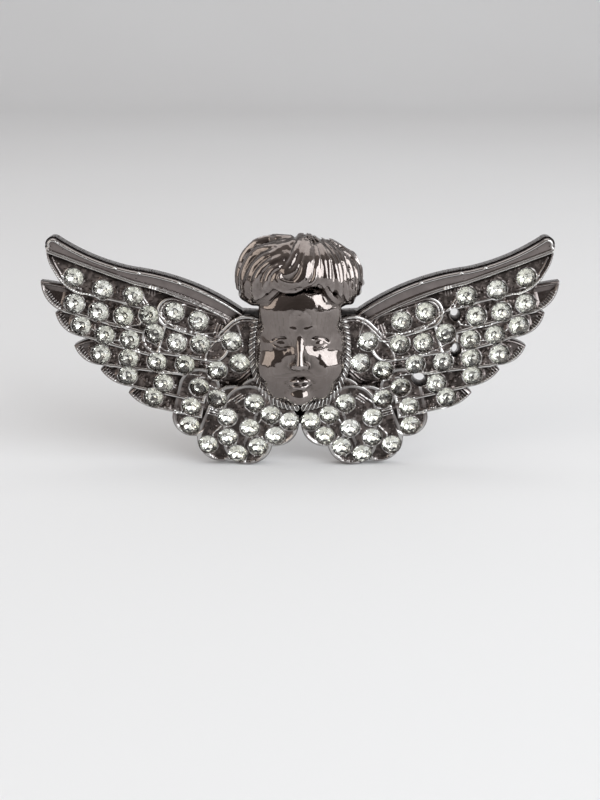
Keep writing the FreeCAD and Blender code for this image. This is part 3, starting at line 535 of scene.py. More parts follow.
def paint(piece, name, values, domain="POINT"):
    """Stores one number for each corner, or each face, of the mesh."""
    layer = piece.data.attributes.new(name, "FLOAT", domain)
    layer.data.foreach_set("value", np.asarray(values, np.float32))


# Small openings through the right wing: middle, half widths along and across, and heading.
OPENINGS = {
    "right": [((26.3, 7.9), 0.62, 0.72, 20), ((26.6, 1.6), 0.46, 0.78, 0), ((20.6, -3.5), 1.0, 0.72, 150)],
    "left": [],
}
# The right wing lacks this stone: its row and its place in the row.
LACKING = {"right": {("quill_2", 0)}, "left": set()}


def wing_mesh(relief, side):
    """Corners, faces, and polish and cavity depth at each corner, of one wing seen as the right one; the cavity depth
    is painted as shade in the plating's recesses.
    """
    spots = [(row, spot) for row in ROWS for number, spot in enumerate(row_points(row))
             if (row, number) not in LACKING[side]]
    set_seats(relief, spots)
    height, reach = relief.height, relief.reach
    for middle, half_along, half_across, heading in OPENINGS[side]:
        cos, sin = math.cos(math.radians(heading)), math.sin(math.radians(heading))
        x, z = GRID_OUT - middle[0], GRID_UP - middle[1]
        oval = np.hypot((x * cos + z * sin) / half_along, (z * cos - x * sin) / half_across)
        from_hole = (oval - 1) * min(half_along, half_across)
        reach = np.minimum(reach, from_hole)
        height = np.minimum(height, 1.1 + 4.0 * np.clip(from_hole, 0, None))
    on_wing = (reach > 0).astype(float)
    # Cavity: how far a corner lies below the blurred heights round it, and a little along the outline. The plating
    # paints it as shade in the recesses, partly standing for real dark antiquing.
    around = [blurred(height * on_wing, radius) / np.maximum(blurred(on_wing, radius), 0.02) for radius in (0.5, 1.1)]
    cavity = np.clip(((around[0] - height) / 0.3 + (around[1] - height) / 0.5) / 2, -1, 1) * on_wing
    cavity = cavity * smooth(reach, 0.0, 0.35) + 0.1 * (1 - smooth(reach, 0.0, 0.35))
    rounding = np.clip(reach / 0.4, 0, 1)
    height = np.maximum(height - 0.42 * (1 - np.sqrt(1 - (1 - rounding) ** 2)), 0.3)
    out, up = GRID_OUT.copy(), GRID_UP.copy()
    slope_out, slope_up = np.gradient(reach, WING_STEP)
    length = np.maximum(np.hypot(slope_out, slope_up), 0.3)
    outside = (reach <= 0) & (reach > -1.5 * WING_STEP)
    near_edge = outside | ((reach > 0) & (reach < 0.35 * WING_STEP))
    out = np.where(near_edge, out - reach * slope_out / length ** 2, out)
    up = np.where(near_edge, up - reach * slope_up / length ** 2, up)
    used = (reach > 0) | outside
    cell = used[:-1, :-1] & used[1:, :-1] & used[1:, 1:] & used[:-1, 1:]
    cell &= (reach[:-1, :-1] > 0) | (reach[1:, :-1] > 0) | (reach[1:, 1:] > 0) | (reach[:-1, 1:] > 0)
    index = np.arange(height.size).reshape(height.shape)
    quads = np.column_stack([index[:-1, :-1][cell], index[1:, :-1][cell], index[1:, 1:][cell], index[:-1, 1:][cell]])
    keep, compact = np.unique(quads, return_inverse=True)
    quads = compact.reshape(quads.shape)
    front = np.column_stack([out.ravel()[keep], -height.ravel()[keep], up.ravel()[keep]])
    back = front.copy()
    back[:, 1] = 0.0
    edges = np.vstack([quads[:, [a, (a + 1) % 4]] for a in range(4)])
    key = np.sort(edges, axis=1) @ [1, len(keep)]
    _, first, times = np.unique(key, return_index=True, return_counts=True)
    rim = edges[first[times == 1]]
    count = len(keep)
    walls = np.column_stack([rim[:, 1], rim[:, 0], rim[:, 0] + count, rim[:, 1] + count])
    faces = np.vstack([quads, quads[:, ::-1] + count, walls])
    corners = np.vstack([front, back])
    if side == "left":
        corners, faces = corners * [-1, 1, 1], faces[:, ::-1]
    cavity = np.concatenate([cavity.ravel()[keep], np.zeros(count)])
    polish = np.concatenate([relief.polish.ravel()[keep], np.full(count, 0.5)])
    return corners, faces, cavity, polish


# --------------------------------------------------------------------------------------------------------
# Head: a solid field of distances, turned into a mesh
# --------------------------------------------------------------------------------------------------------
HEAD_AXES = (np.arange(-11.6, 11.65, HEAD_STEP), np.arange(0.9, 10.2, HEAD_STEP), np.arange(-8.0, 23.6, HEAD_STEP))
HEAD_X, HEAD_D, HEAD_Z = np.meshgrid(*HEAD_AXES, indexing="ij")


def blend(a, b, soft):
    """Joins two solids given by distances (negative inside), filling the crease between them."""
    mix = np.clip(0.5 + 0.5 * (b - a) / soft, 0, 1)
    return b * (1 - mix) + a * mix - soft * mix * (1 - mix)


def carve(a, b, soft):
    """Takes solid b out of solid a, with a soft edge."""
    return -blend(-a, b, soft)


def block(low, high):
    """Part of the head's grid between two corners."""
    return tuple(slice(*np.searchsorted(axis, ends)) for axis, ends in zip(HEAD_AXES, zip(low, high)))


def ball(solid, method, spot, radii, soft, tilt=0.0):
    """Joins or carves an ellipsoid at a spot (sideways, forwards, up), turned by tilt in its front view."""
    spot, radii = np.array(spot, float), np.array(radii, float)
    reach = max(radii) + 2.5 * soft
    box = block(spot - reach, spot + reach)
    cos, sin = math.cos(math.radians(tilt)), math.sin(math.radians(tilt))
    x, d, z = HEAD_X[box] - spot[0], HEAD_D[box] - spot[1], HEAD_Z[box] - spot[2]
    parts = ((x * cos + z * sin) / radii[0], d / radii[1], (z * cos - x * sin) / radii[2])
    near = np.sqrt(sum(part ** 2 for part in parts))
    steep = np.sqrt(sum((part / radius) ** 2 for part, radius in zip(parts, radii)))
    solid[box] = method(solid[box], near * (near - 1) / np.maximum(steep, 1e-6), soft)


def strand(solid, method, path, radii, soft):
    """Joins or carves a tapered rounded strand through the points of a path."""
    path = np.asarray(path, float)
    reach = max(radii) + 2.0 * soft + 0.3
    box = block(path.min(axis=0) - reach, path.max(axis=0) + reach)
    x, d, z = HEAD_X[box], HEAD_D[box], HEAD_Z[box]
    best = np.full(x.shape, 1e9)
    for a, b, ra, rb in zip(path[:-1], path[1:], radii[:-1], radii[1:]):
        span = b - a
        t = np.clip(((x - a[0]) * span[0] + (d - a[1]) * span[1] + (z - a[2]) * span[2]) / (span @ span), 0, 1)
        gap = np.sqrt((x - a[0] - t * span[0]) ** 2 + (d - a[1] - t * span[1]) ** 2 + (z - a[2] - t * span[2]) ** 2)
        best = np.minimum(best, gap - ra - t * (rb - ra))
    solid[box] = method(solid[box], best, soft)


def cap_forward(x, z):
    """How far forwards the cap of hair stands at a spot."""
    half = np.where(z > CAP_MIDDLE, CAP_TOP, CAP_LOW)
    flat = np.abs(x / CAP_WIDTH) ** CAP_SQUARENESS + np.abs((z - CAP_MIDDLE) / half) ** CAP_SQUARENESS
    return 1.4 + CAP_DEPTH * np.clip(1 - flat ** (2.4 / CAP_SQUARENESS), 0, 1) ** 0.55


def face_forward(x, z):
    """How far forwards the plain oval of the face stands at a spot."""
    return 1.2 + 6.0 * np.sqrt(np.clip(1 - (x / 7.6) ** 2 - ((z - 3.1) / 9.9) ** 2, 0, 1))


def lock(solid, root, end, bow, width, count, radius, lift, hook=0.0, root_spread=0.6, end_spread=0.3, soft=0.16):
    """A lock of combed strands over the cap, from its root to its end, bowed sideways and hooked at the end."""
    root, end = np.array(root, float), np.array(end, float)
    t = np.linspace(0, 1, 16)
    chord = end - root
    side = np.array([-chord[1], chord[0]]) / np.linalg.norm(chord)
    middle = root + chord * t[:, None] + side * (bow * np.sin(t * math.pi) + hook * t ** 2 * np.sin(t * math.pi))[:, None]
    spread = np.interp(t, (0, 0.35, 0.7, 1), (root_spread, 1.0, 0.9, end_spread))
    thick = np.interp(t, (0, 0.2, 0.65, 0.9, 1), (0.7, 1.0, 1.05, 0.8, 0.4))
    for number in range(count):
        share = 0.0 if count == 1 else number / (count - 1) - 0.5
        spots = middle + side * (share * width * spread)[:, None]
        crown = lift * (1 - 2.2 * share ** 2) * np.interp(t, (0, 0.3, 0.8, 1), (0.3, 1, 1, 0.5))
        forward = np.maximum(cap_forward(*spots.T), face_forward(*spots.T)) + crown - radius * 0.45
        uneven = 1 + 0.12 * math.sin(number * 2.4 + root[0] * 3)
        strand(solid, blend, np.column_stack([spots[:, 0], forward, spots[:, 1]]), radius * uneven * thick, soft)


def face_solid():
    """A plain, calm child's face on ordinary proportions, with lowered lids."""
    half_width = 8.4 - 0.17 * np.clip(2.5 - HEAD_Z, 0, 9)
    front = (np.abs(HEAD_X / half_width) ** 2.3 + np.abs((HEAD_Z - 3.1) / 9.9) ** 2.3) ** (2 / 2.3)
    oval = np.sqrt(front + ((HEAD_D - 1.2) / 6.0) ** 2)
    face = (oval - 1) * 6.4
    ball(face, blend, (0, 4.4, 10.2), (6.9, 2.5, 4.6), 1.8)
    ball(face, blend, (0, 2.0, 12.6), (7.2, 2.4, 4.0), 1.0)
    for side in (-1, 1):
        ball(face, blend, (side * 4.2, 4.4, 0.2), (3.1, 2.4, 2.9), 1.6)
        ball(face, blend, (side * 3.8, 3.0, -2.8), (2.4, 2.1, 2.9), 1.6)
        ball(face, carve, (side * 3.0, 8.1, 4.8), (2.2, 1.42, 1.3), 1.3, side * -5)
        ball(face, blend, (side * 2.95, 5.35, 4.75), (1.62, 1.2, 1.12), 0.2)
        turns = np.radians(np.linspace(6, 174, 13))
        crease = [(side * (2.95 + 1.85 * math.cos(a)), 6.5 - 0.75 * math.cos(a) ** 2, 4.95 + 1.05 * math.sin(a)) for a in turns]
        strand(face, carve, crease, [0.05] + [0.17] * 11 + [0.05], 0.16)
        slit = [(side * (2.95 + 1.6 * math.cos(a)), 6.6 - 0.62 * math.cos(a) ** 2, 4.75 - 0.62 * math.sin(a)) for a in turns]
        strand(face, blend, slit, [0.06] + [0.17] * 11 + [0.06], 0.1)
        lower = [(x, d + 0.05, z - 0.28) for x, d, z in slit]
        strand(face, carve, lower, [0.03] + [0.12] * 11 + [0.03], 0.1)
        brow = [(side * x, 6.9 - 0.1 * x * x, 7.35 + 0.35 * math.sin((x - 0.9) * 0.79)) for x in np.linspace(0.9, 4.9, 9)]
        strand(face, blend, brow, [0.05, 0.08, 0.13, 0.17, 0.18, 0.17, 0.14, 0.1, 0.06], 0.7)
        ball(face, blend, (side * 0.98, 7.2, 1.15), (0.62, 0.8, 0.58), 0.4)
        ball(face, carve, (side * 0.55, 7.75, 0.5), (0.3, 0.45, 0.2), 0.2)
        strand(face, blend, [(0, 7.0, -1.62), (side * 0.55, 7.1, -1.42), (side * 1.2, 6.85, -1.62), (side * 2.1, 6.2, -1.95)],
               [0.3, 0.36, 0.3, 0.12], 0.35)
        strand(face, blend, [(0, 6.95, -2.55), (side * 0.8, 6.9, -2.5), (side * 1.8, 6.35, -2.12)], [0.42, 0.4, 0.14], 0.35)
        ball(face, carve, (side * 2.35, 6.75, -1.95), (0.4, 0.4, 0.35), 0.5)
    bridge = [(0, 5.2, 8.6), (0, 6.0, 6.9), (0, 6.65, 5.3), (0, 7.25, 3.6), (0, 7.85, 2.1), (0, 8.05, 1.5)]
    strand(face, blend, bridge, [0.2, 0.4, 0.5, 0.58, 0.74, 0.82], 0.9)
    parting = [(x, 7.35 - 0.17 * x * x, -2.0 + 0.03 * x * x - 0.1 * math.exp(-4 * x * x)) for x in np.linspace(-2.1, 2.1, 11)]
    strand(face, carve, parting, [0.04] + [0.13] * 9 + [0.04], 0.15)
    ball(face, carve, (0, 7.6, -0.5), (0.28, 0.5, 0.55), 0.5)
    ball(face, blend, (0, 4.7, -4.8), (2.1, 1.75, 1.55), 1.3)
    return face


def hair_solid(solid):
    """Cap of hair: a broad smooth sweep on the left, a curled forelock, and combed strands on the right."""
    flat = (np.abs(HEAD_X / CAP_WIDTH) ** CAP_SQUARENESS
            + np.abs((HEAD_Z - CAP_MIDDLE) / np.where(HEAD_Z > CAP_MIDDLE, CAP_TOP, CAP_LOW)) ** CAP_SQUARENESS)
    near = np.sqrt(flat ** (2 / CAP_SQUARENESS) + (np.clip(HEAD_D - 1.0, 0, None) / CAP_DEPTH) ** 2.4)
    cap = (near - 1) * 6.6
    opening = np.sqrt((HEAD_X / 7.3) ** 2 + ((HEAD_Z - 3.2) / 12.1) ** 2)
    cap = carve(cap, (opening - 1) * 7.2, 0.8)
    waves = np.sin(0.95 * HEAD_X + 0.55 * HEAD_Z + 0.6) * np.sin(0.75 * HEAD_Z - 0.5 * HEAD_X + 1.2)
    comb = np.sin(44 * np.arctan2(HEAD_X - 0.6, 24.0 - HEAD_Z) + 1.4 * np.sin(0.45 * HEAD_Z))
    solid = blend(solid, cap + 0.3 * waves + np.where(HEAD_X > -1.5, 0.15, 0.08) * comb, 0.3)
    lock(solid, (-1.4, 21.6), (-9.9, 13.2), -2.4, 2.6, 3, 0.95, 0.05, root_spread=0.3, end_spread=0.5, soft=0.4)
    lock(solid, (-1.8, 20.6), (-8.9, 12.3), -2.2, 2.6, 3, 0.95, 0.35, root_spread=0.3, end_spread=0.4, soft=0.3)
    lock(solid, (-1.8, 19.6), (-7.6, 12.7), -1.9, 2.3, 3, 0.85, 0.6, root_spread=0.3, end_spread=0.3, soft=0.3)
    lock(solid, (-2.2, 18.4), (-6.2, 13.9), -1.3, 2.0, 3, 0.65, 0.6, hook=1.2, root_spread=0.3, soft=0.22)
    lock(solid, (-2.8, 17.2), (-4.9, 14.8), -0.7, 1.5, 3, 0.5, 0.55, hook=1.2, soft=0.2)
    lock(solid, (5.4, 20.6), (9.3, 13.0), 1.5, 2.2, 5, 0.46, 0.0, end_spread=0.5)
    lock(solid, (4.8, 21.0), (8.8, 12.4), 1.5, 2.4, 4, 0.5, 0.25, hook=-1.0)
    lock(solid, (3.9, 21.2), (7.2, 13.6), 1.0, 2.2, 4, 0.5, 0.45, hook=-1.4)
    lock(solid, (3.1, 21.3), (5.4, 14.7), 0.6, 1.9, 4, 0.42, 0.55, hook=-1.6)
    lock(solid, (2.5, 21.2), (3.6, 15.2), 0.3, 1.6, 3, 0.42, 0.55, hook=-1.4)
    lock(solid, (0.6, 21.8), (-3.6, 16.6), 1.2, 2.2, 3, 0.72, 0.55, hook=1.2, soft=0.25)
    lock(solid, (1.7, 21.3), (-2.4, 15.3), 1.0, 2.4, 5, 0.5, 0.95, hook=2.6, soft=0.18)
    lock(solid, (2.6, 19.6), (0.2, 15.2), 0.9, 1.5, 3, 0.42, 0.8, hook=1.6)
    for out, drop in ((-7.8, 12.0), (-6.6, 13.0), (-5.2, 14.1), (2.6, 15.2), (4.0, 14.9), (5.4, 14.2), (6.8, 13.2), (8.0, 12.2)):
        lean = 0.9 if out > 0 else -0.9
        lock(solid, (out - lean, drop + 4.6), (out, drop - 0.3), 0.3, 1.1, 3, 0.34, 0.35, end_spread=0.2, soft=0.12)
    ball(solid, blend, (-2.1, 7.0, 16.8), (1.3, 1.0, 1.3), 0.5)
    curl = [(-4.7, 17.0), (-4.8, 16.0), (-4.3, 15.1), (-3.3, 14.5), (-2.2, 14.2), (-1.0, 14.2), (0.2, 14.6), (1.1, 15.4)]
    for inward, radius in ((0.0, 0.5), (0.8, 0.5), (1.5, 0.4)):
        middle = np.array([-2.0, 16.8])
        spots = [np.array(p) + (middle - p) * inward / np.linalg.norm(middle - p) for p in curl]
        path = [(x, max(cap_forward(x, z), face_forward(x, z)) + 0.1 + inward * 0.4, z) for x, z in spots]
        strand(solid, blend, path, [0.3] + [radius] * 4 + [radius * 0.85, radius * 0.6, 0.2], 0.2)
    return solid


def surface_net(field, axes, step):
    """Quads over the zero level of a field of distances, negative inside."""
    inside = field < 0
    shape = tuple(n - 1 for n in field.shape)
    corner = [(a, b, c) for a in (0, 1) for b in (0, 1) for c in (0, 1)]
    view = lambda array, c: array[c[0]:c[0] + shape[0], c[1]:c[1] + shape[1], c[2]:c[2] + shape[2]]
    total, count = np.zeros(shape + (3,)), np.zeros(shape)
    for first in corner:
        for axis in range(3):
            if first[axis]:
                continue
            second = tuple(1 if i == axis else v for i, v in enumerate(first))
            a, b = view(field, first), view(field, second)
            cut = (a < 0) != (b < 0)
            t = np.where(cut, a / np.where(cut, a - b, 1), 0)
            for i in range(3):
                total[..., i] += cut * (first[i] + (t if i == axis else 0))
            count += cut
    used = count > 0
    index = np.full(shape, -1)
    index[used] = np.arange(used.sum())
    cells = np.argwhere(used)
    spots = cells + total[used] / count[used][:, None]
    corners = np.column_stack([axes[i][0] + step * spots[:, i] for i in range(3)])
    quads = []
    for axis in range(3):
        u, v = (axis + 1) % 3, (axis + 2) % 3
        low = [slice(None)] * 3
        high = [slice(None)] * 3
        low[axis], high[axis] = slice(0, -1), slice(1, None)
        a, b = inside[tuple(low)], inside[tuple(high)]
        for flip, cut in ((False, a & ~b), (True, ~a & b)):
            spots = np.argwhere(cut)
            spots = spots[(spots[:, u] > 0) & (spots[:, v] > 0)
                          & (spots[:, u] < shape[u]) & (spots[:, v] < shape[v])]
            ring = []
            for du, dv in ((-1, -1), (0, -1), (0, 0), (-1, 0)):
                cell = spots.copy()
                cell[:, u] += du
                cell[:, v] += dv
                ring.append(index[cell[:, 0], cell[:, 1], cell[:, 2]])
            ring = np.column_stack(ring)
            quads.append(ring[:, ::-1] if flip else ring)
    return corners, np.vstack(quads)


def head_mesh():
    solid = hair_solid(face_solid())
    solid = solid + 0.05 * noise_maker(11, 1.5)(HEAD_X, HEAD_Z) + 0.018 * noise_maker(12, 0.6)(HEAD_X, HEAD_Z)
    solid = np.maximum(solid, 1.5 - HEAD_D)
    corners, quads = surface_net(solid, HEAD_AXES, HEAD_STEP)
    # Hollow: how much of the solid surrounds each corner. It becomes the head's cavity, which the plating paints as
    # shade in grooves and under the hair, partly standing for real dark antiquing.
    filled = (solid < 0).astype(np.float32)
    count = max(1, round(0.45 / HEAD_STEP))
    for axis in (0, 1, 2, 0, 1, 2):
        filled = sum(np.roll(filled, k, axis) for k in range(-count, count + 1)) / (2 * count + 1)
    cell = [np.clip(np.rint((corners[:, i] - HEAD_AXES[i][0]) / HEAD_STEP).astype(int), 0, filled.shape[i] - 1) for i in range(3)]
    hollow = np.clip(3.2 * (filled[tuple(cell)] - 0.5), -1, 1)
    return (corners - [0, 0, HEAD_DROP]) * [1, -1, 1], quads[:, ::-1], hollow


# --------------------------------------------------------------------------------------------------------
# Stones
# --------------------------------------------------------------------------------------------------------
def stone_mesh(centre, axes, spin):
    """Corners and faces of a cut stone, which faces lie on its foil, and a painted reflection tone for each face (dark
    foil facets stand for reflected darkness). Axes: two across, one outwards.
    """
    def ring(radius, height, count, offset):
        turns = np.radians(np.arange(count) * 360 / count + offset + spin)
        flat = np.column_stack([radius * np.cos(turns), radius * np.sin(turns), np.full(count, height)])
        return flat

    table = ring(TABLE_RADIUS, CROWN, 8, 0)
    bezel = ring(1.22, 0.38, 8, 22.5)
    girdle = ring(GLASS_RADIUS, 0, 16, 0)
    under = ring(GLASS_RADIUS, -GIRDLE, 16, 0)
    mains = ring(0.72, -GIRDLE - 0.62, 8, 0)
    culet = np.array([[0, 0, -GIRDLE - PAVILION]])
    corners = np.vstack([table, bezel, girdle, under, mains, culet])
    t, b, g, u, m, c = 0, 8, 16, 32, 48, 56
    faces, foil, reflection_tone = [list(range(8))], [0], [1.0]
    for k in range(8):
        n = (k + 1) % 8
        faces += [[t + n, t + k, b + k], [t + k, b + (k - 1) % 8, g + 2 * k, b + k],
                  [b + k, g + 2 * k, g + 2 * k + 1], [b + k, g + 2 * k + 1, g + (2 * k + 2) % 16]]
        foil += [0] * 4
        reflection_tone += [1.0] * 4
        faces += [[m + k, u + 2 * k, u + (2 * k - 1) % 16], [m + k, u + 2 * k + 1, u + 2 * k]]
        faces += [[m + k, m + n, u + 2 * k + 1], [c, m + n, m + k]]
        foil += [1] * 4
        # Painted reflection: random darker tones on the foil's facets paint in the dark reflections of a real stone's
        # pavilion.
        reflection_tone += [RANDOM.uniform(0.85, 1.0), RANDOM.uniform(0.25, 0.7), RANDOM.uniform(0.7, 1.0), RANDOM.uniform(0.75, 1.0)]
    for k in range(16):
        n = (k + 1) % 16
        faces.append([g + k, u + k, u + n, g + n])
        foil.append(0)
        reflection_tone.append(1.0)
    return centre + corners @ np.array(axes), faces, foil, reflection_tone


def loose_parts(node):
    """Corners, in millimetres, of each separate solid of a CAD node."""
    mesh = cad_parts[node].data
    corners = np.empty(len(mesh.vertices) * 3)
    mesh.vertices.foreach_get("co", corners)
    corners = np.round(corners.reshape(-1, 3) / MM, 3)
    spots, group = np.unique(corners, axis=0, return_inverse=True)
    group = group.ravel()
    labels = np.arange(len(spots))
    links = np.array([[group[v] for v in edge.vertices] for edge in mesh.edges])
    while True:
        before = labels.copy()
        low = np.minimum(labels[links[:, 0]], labels[links[:, 1]])
        np.minimum.at(labels, links[:, 0], low)
        np.minimum.at(labels, links[:, 1], low)
        if np.array_equal(before, labels):
            break
    return [spots[labels == label] for label in np.unique(labels)]


def stone_frames(node):
    """Centre of the girdle's top and the axes, two across and one outwards, of each stone of a node."""
    frames = []
    for corners in loose_parts(node):
        middle = corners.mean(axis=0)
        values, vectors = np.linalg.eigh(np.cov((corners - middle).T))
        normal = vectors[:, 0] * -np.sign(vectors[1, 0])
        level = (corners - middle) @ normal
        flat = corners - middle - np.outer(level, normal)
        wide = np.linalg.norm(flat, axis=1) > TABLE_RADIUS + 0.3
        top = corners[wide & (level > level[wide].max() - 0.04)]
        centre = top.mean(axis=0)
        across = (top[0] - centre) / np.linalg.norm(top[0] - centre)
        frames.append((centre, [across, np.cross(normal, across), normal]))
    return frames


def stones_of(node):
    corners, faces, foil, reflection_tone, start = [], [], [], [], 0
    for centre, axes in stone_frames(node):
        spots, sides, foiled, reflection_tones = stone_mesh(centre, axes, RANDOM.uniform(0, 45))
        corners.append(spots)
        faces += [[i + start for i in side] for side in sides]
        foil += foiled
        reflection_tone += reflection_tones
        start += len(spots)
    return np.vstack(corners), faces, foil, reflection_tone


# --------------------------------------------------------------------------------------------------------
# Spikes
# --------------------------------------------------------------------------------------------------------
def spike_mesh(out):
    """Turned spike on its soldered pad: corners and faces, going back from the wing."""
    profile = [(0.0, 0.02), (3.5, 0.02), (3.85, 0.1), (3.98, 0.28), (3.98, 0.52), (3.86, 0.7), (3.6, 0.79), (2.6, 0.8),
               (2.1, 0.84), (1.6, 0.92), (1.25, 1.04), (0.98, 1.16), (0.84, 1.28), (0.8, 1.4)]
    profile += [(0.8 - 0.02 * (k % 2), 1.4 + 0.55 * k) for k in range(1, 16)]
    profile += [(0.8, 10.2), (0.79, 10.4), (0.74, 10.8), (0.6, 11.6), (0.45, 12.4), (0.27, 13.3), (0.1, 14.1), (0.0, 14.28)]
    count = 48
    turns = np.radians(np.arange(count) * 360 / count)
    corners = []
    for radius, back in profile:
        wobble = np.ones(count)
        if 0.8 < back < 1.3:
            wobble = 1 + 0.06 * np.sin(turns * 3 + 1) + 0.03 * np.sin(turns * 5)
        corners.append(np.column_stack([out + radius * wobble * np.cos(turns), np.full(count, back),
                                        radius * wobble * np.sin(turns)]))
    index = np.arange(len(profile) * count).reshape(len(profile), count)
    ahead = np.roll(index, -1, axis=1)
    quads = np.stack([index[:-1], index[1:], ahead[1:], ahead[:-1]], axis=-1).reshape(-1, 4)
    return np.vstack(corners), quads


# --------------------------------------------------------------------------------------------------------
# Materials
# --------------------------------------------------------------------------------------------------------
def new_material(name):
    material = bpy.data.materials.new(name)
    material.use_nodes = True
    shader = material.node_tree.nodes["Principled BSDF"]
    return material, shader, Nodes(material.node_tree)


class Nodes:
    """Short names for adding and joining shader nodes."""

    def __init__(self, tree):
        self.tree = tree

    def add(self, kind, **values):
        node = self.tree.nodes.new(kind)
        for key, value in values.items():
            if key in node.inputs:
                node.inputs[key].default_value = value
            else:
                setattr(node, key, value)
        return node

    def join(self, output, socket):
        self.tree.links.new(output, socket)

    def noise(self, scale, detail=3.0, roughness=0.55):
        where = self.add("ShaderNodeTexCoord")
        texture = self.add("ShaderNodeTexNoise", Scale=scale, Detail=detail, Roughness=roughness)
        self.join(where.outputs["Object"], texture.inputs["Vector"])
        return texture.outputs["Fac"]

    def ramp(self, value, stops):
        ramp = self.add("ShaderNodeValToRGB")
        while len(ramp.color_ramp.elements) < len(stops):
            ramp.color_ramp.elements.new(0.5)
        for element, (position, colour) in zip(ramp.color_ramp.elements, stops):
            element.position = position
            element.color = (*colour, 1) if isinstance(colour, tuple) else (colour, colour, colour, 1)
        self.join(value, ramp.inputs["Fac"])
        return ramp.outputs["Color"]

    def maths(self, operation, first, second):
        node = self.add("ShaderNodeMath", operation=operation)
        for socket, value in zip(node.inputs, (first, second)):
            if isinstance(value, (int, float)):
                socket.default_value = value
            else:
                self.join(value, socket)
        return node.outputs[0]

    def mix(self, share, first, second, mode="MIX"):
        node = self.add("ShaderNodeMix", data_type="RGBA", blend_type=mode)
        for socket, value in ((node.inputs[0], share), (node.inputs[6], first), (node.inputs[7], second)):
            if isinstance(value, (int, float)):
                socket.default_value = value
            elif isinstance(value, tuple):
                socket.default_value = (*value, 1)
            else:
                self.join(value, socket)
        return node.outputs[2]

    def bump(self, height, strength, distance, socket):
        node = self.add("ShaderNodeBump", Strength=strength, Distance=distance)
        self.join(height, node.inputs["Height"])
        self.join(node.outputs["Normal"], socket)


def plating(name, smooth_colour, worn_colour, field_colour, recess_shade_colour, roughness):
    """Polished dark plating: dull and darker in the cast fields, dull and darkened by painted shade in the recesses
    (partly the real dark antiquing), brighter where it is rubbed.
    """
    material, shader, nodes = new_material(name)
    shader.inputs["Metallic"].default_value = 1.0
    depth = nodes.add("ShaderNodeAttribute", attribute_name="cavity").outputs["Fac"]
    polish = nodes.add("ShaderNodeAttribute", attribute_name="polish").outputs["Fac"]
    # Painted shade: deep cavity pulls the colour towards a near-black, partly standing for real dark antiquing.
    recess_shade = nodes.ramp(depth, ((0.05, 0.0), (0.6, 1.0)))
    raised = nodes.ramp(nodes.maths("MULTIPLY", depth, -1.0), ((0.1, 0.0), (0.7, 1.0)))
    shine = nodes.ramp(polish, ((0.15, 0.0), (0.8, 1.0)))
    cloud = nodes.ramp(nodes.noise(420.0, 4.0), ((0.35, 0.0), (0.68, 1.0)))
    colour = nodes.mix(cloud, smooth_colour, tuple(0.82 * v for v in smooth_colour))
    colour = nodes.mix(raised, colour, worn_colour)
    field = nodes.mix(nodes.ramp(nodes.noise(900.0, 3.0), ((0.46, 0.0), (0.6, 1.0))), field_colour,
                      tuple(2.6 * v for v in field_colour))
    colour = nodes.mix(shine, field, colour)
    colour = nodes.mix(recess_shade, colour, recess_shade_colour)
    nodes.join(colour, shader.inputs["Base Color"])
    grain = nodes.ramp(nodes.noise(2600.0, 3.0), ((0.3, 0.75), (0.75, 1.3)))
    dull = nodes.maths("ADD", nodes.maths("MULTIPLY", recess_shade, 0.2), roughness)
    dull = nodes.maths("ADD", nodes.maths("MULTIPLY", nodes.maths("SUBTRACT", 1.0, shine), 0.12), dull)
    nodes.join(nodes.maths("MULTIPLY", dull, grain), shader.inputs["Roughness"])
    nodes.bump(nodes.noise(5200.0, 2.0), 0.12, 0.00003, shader.inputs["Normal"])
    return material


# The fourth colour of each plating is the near-black painted shade of its recesses.
wing_metal = plating("gunmetal_wing", (0.2, 0.175, 0.168), (0.55, 0.54, 0.53), (0.05, 0.042, 0.039),
                     (0.016, 0.013, 0.012), 0.08)
head_metal = plating("gunmetal_head", (0.22, 0.192, 0.18), (0.3, 0.27, 0.26), (0.12, 0.1, 0.09),
                     (0.06, 0.05, 0.046), 0.05)

pin_metal, pin_shader, pin_nodes = new_material("drawn_steel")
pin_shader.inputs["Metallic"].default_value = 1.0
pin_nodes.join(pin_nodes.ramp(pin_nodes.noise(900.0, 3.0), ((0.3, (0.42, 0.41, 0.4)), (0.7, (0.56, 0.55, 0.54)))),
               pin_shader.inputs["Base Color"])
pin_nodes.join(pin_nodes.ramp(pin_nodes.noise(3000.0, 2.0), ((0.3, 0.22), (0.7, 0.36))), pin_shader.inputs["Roughness"])
pin_nodes.bump(pin_nodes.noise(4000.0, 2.0), 0.15, 0.00003, pin_shader.inputs["Normal"])

crystal, crystal_shader, crystal_nodes = new_material("crystal_glass")
crystal_shader.inputs["Transmission Weight"].default_value = 1.0
crystal_shader.inputs["IOR"].default_value = 1.57
crystal_shader.inputs["Roughness"].default_value = 0.0
crystal_nodes.join(crystal_nodes.ramp(crystal_nodes.noise(150.0, 1.0), ((0.4, (0.98, 0.985, 0.95)), (0.62, (1.0, 1.0, 0.99)))),
                   crystal_shader.inputs["Base Color"])

foil, foil_shader, foil_nodes = new_material("silver_foil")
foil_shader.inputs["Metallic"].default_value = 1.0
# The foil's colour is darkened facet by facet by the painted reflection tone.
facet_reflection = foil_nodes.add("ShaderNodeAttribute", attribute_name="reflection_tone").outputs["Fac"]
silver = foil_nodes.ramp(foil_nodes.noise(260.0, 2.0), ((0.38, (0.93, 0.93, 0.88)), (0.62, (0.98, 0.98, 0.96))))
foil_nodes.join(foil_nodes.mix(facet_reflection, (0.16, 0.16, 0.15), silver), foil_shader.inputs["Base Color"])
foil_nodes.join(foil_nodes.ramp(foil_nodes.noise(1500.0, 2.0), ((0.3, 0.04), (0.7, 0.12))), foil_shader.inputs["Roughness"])


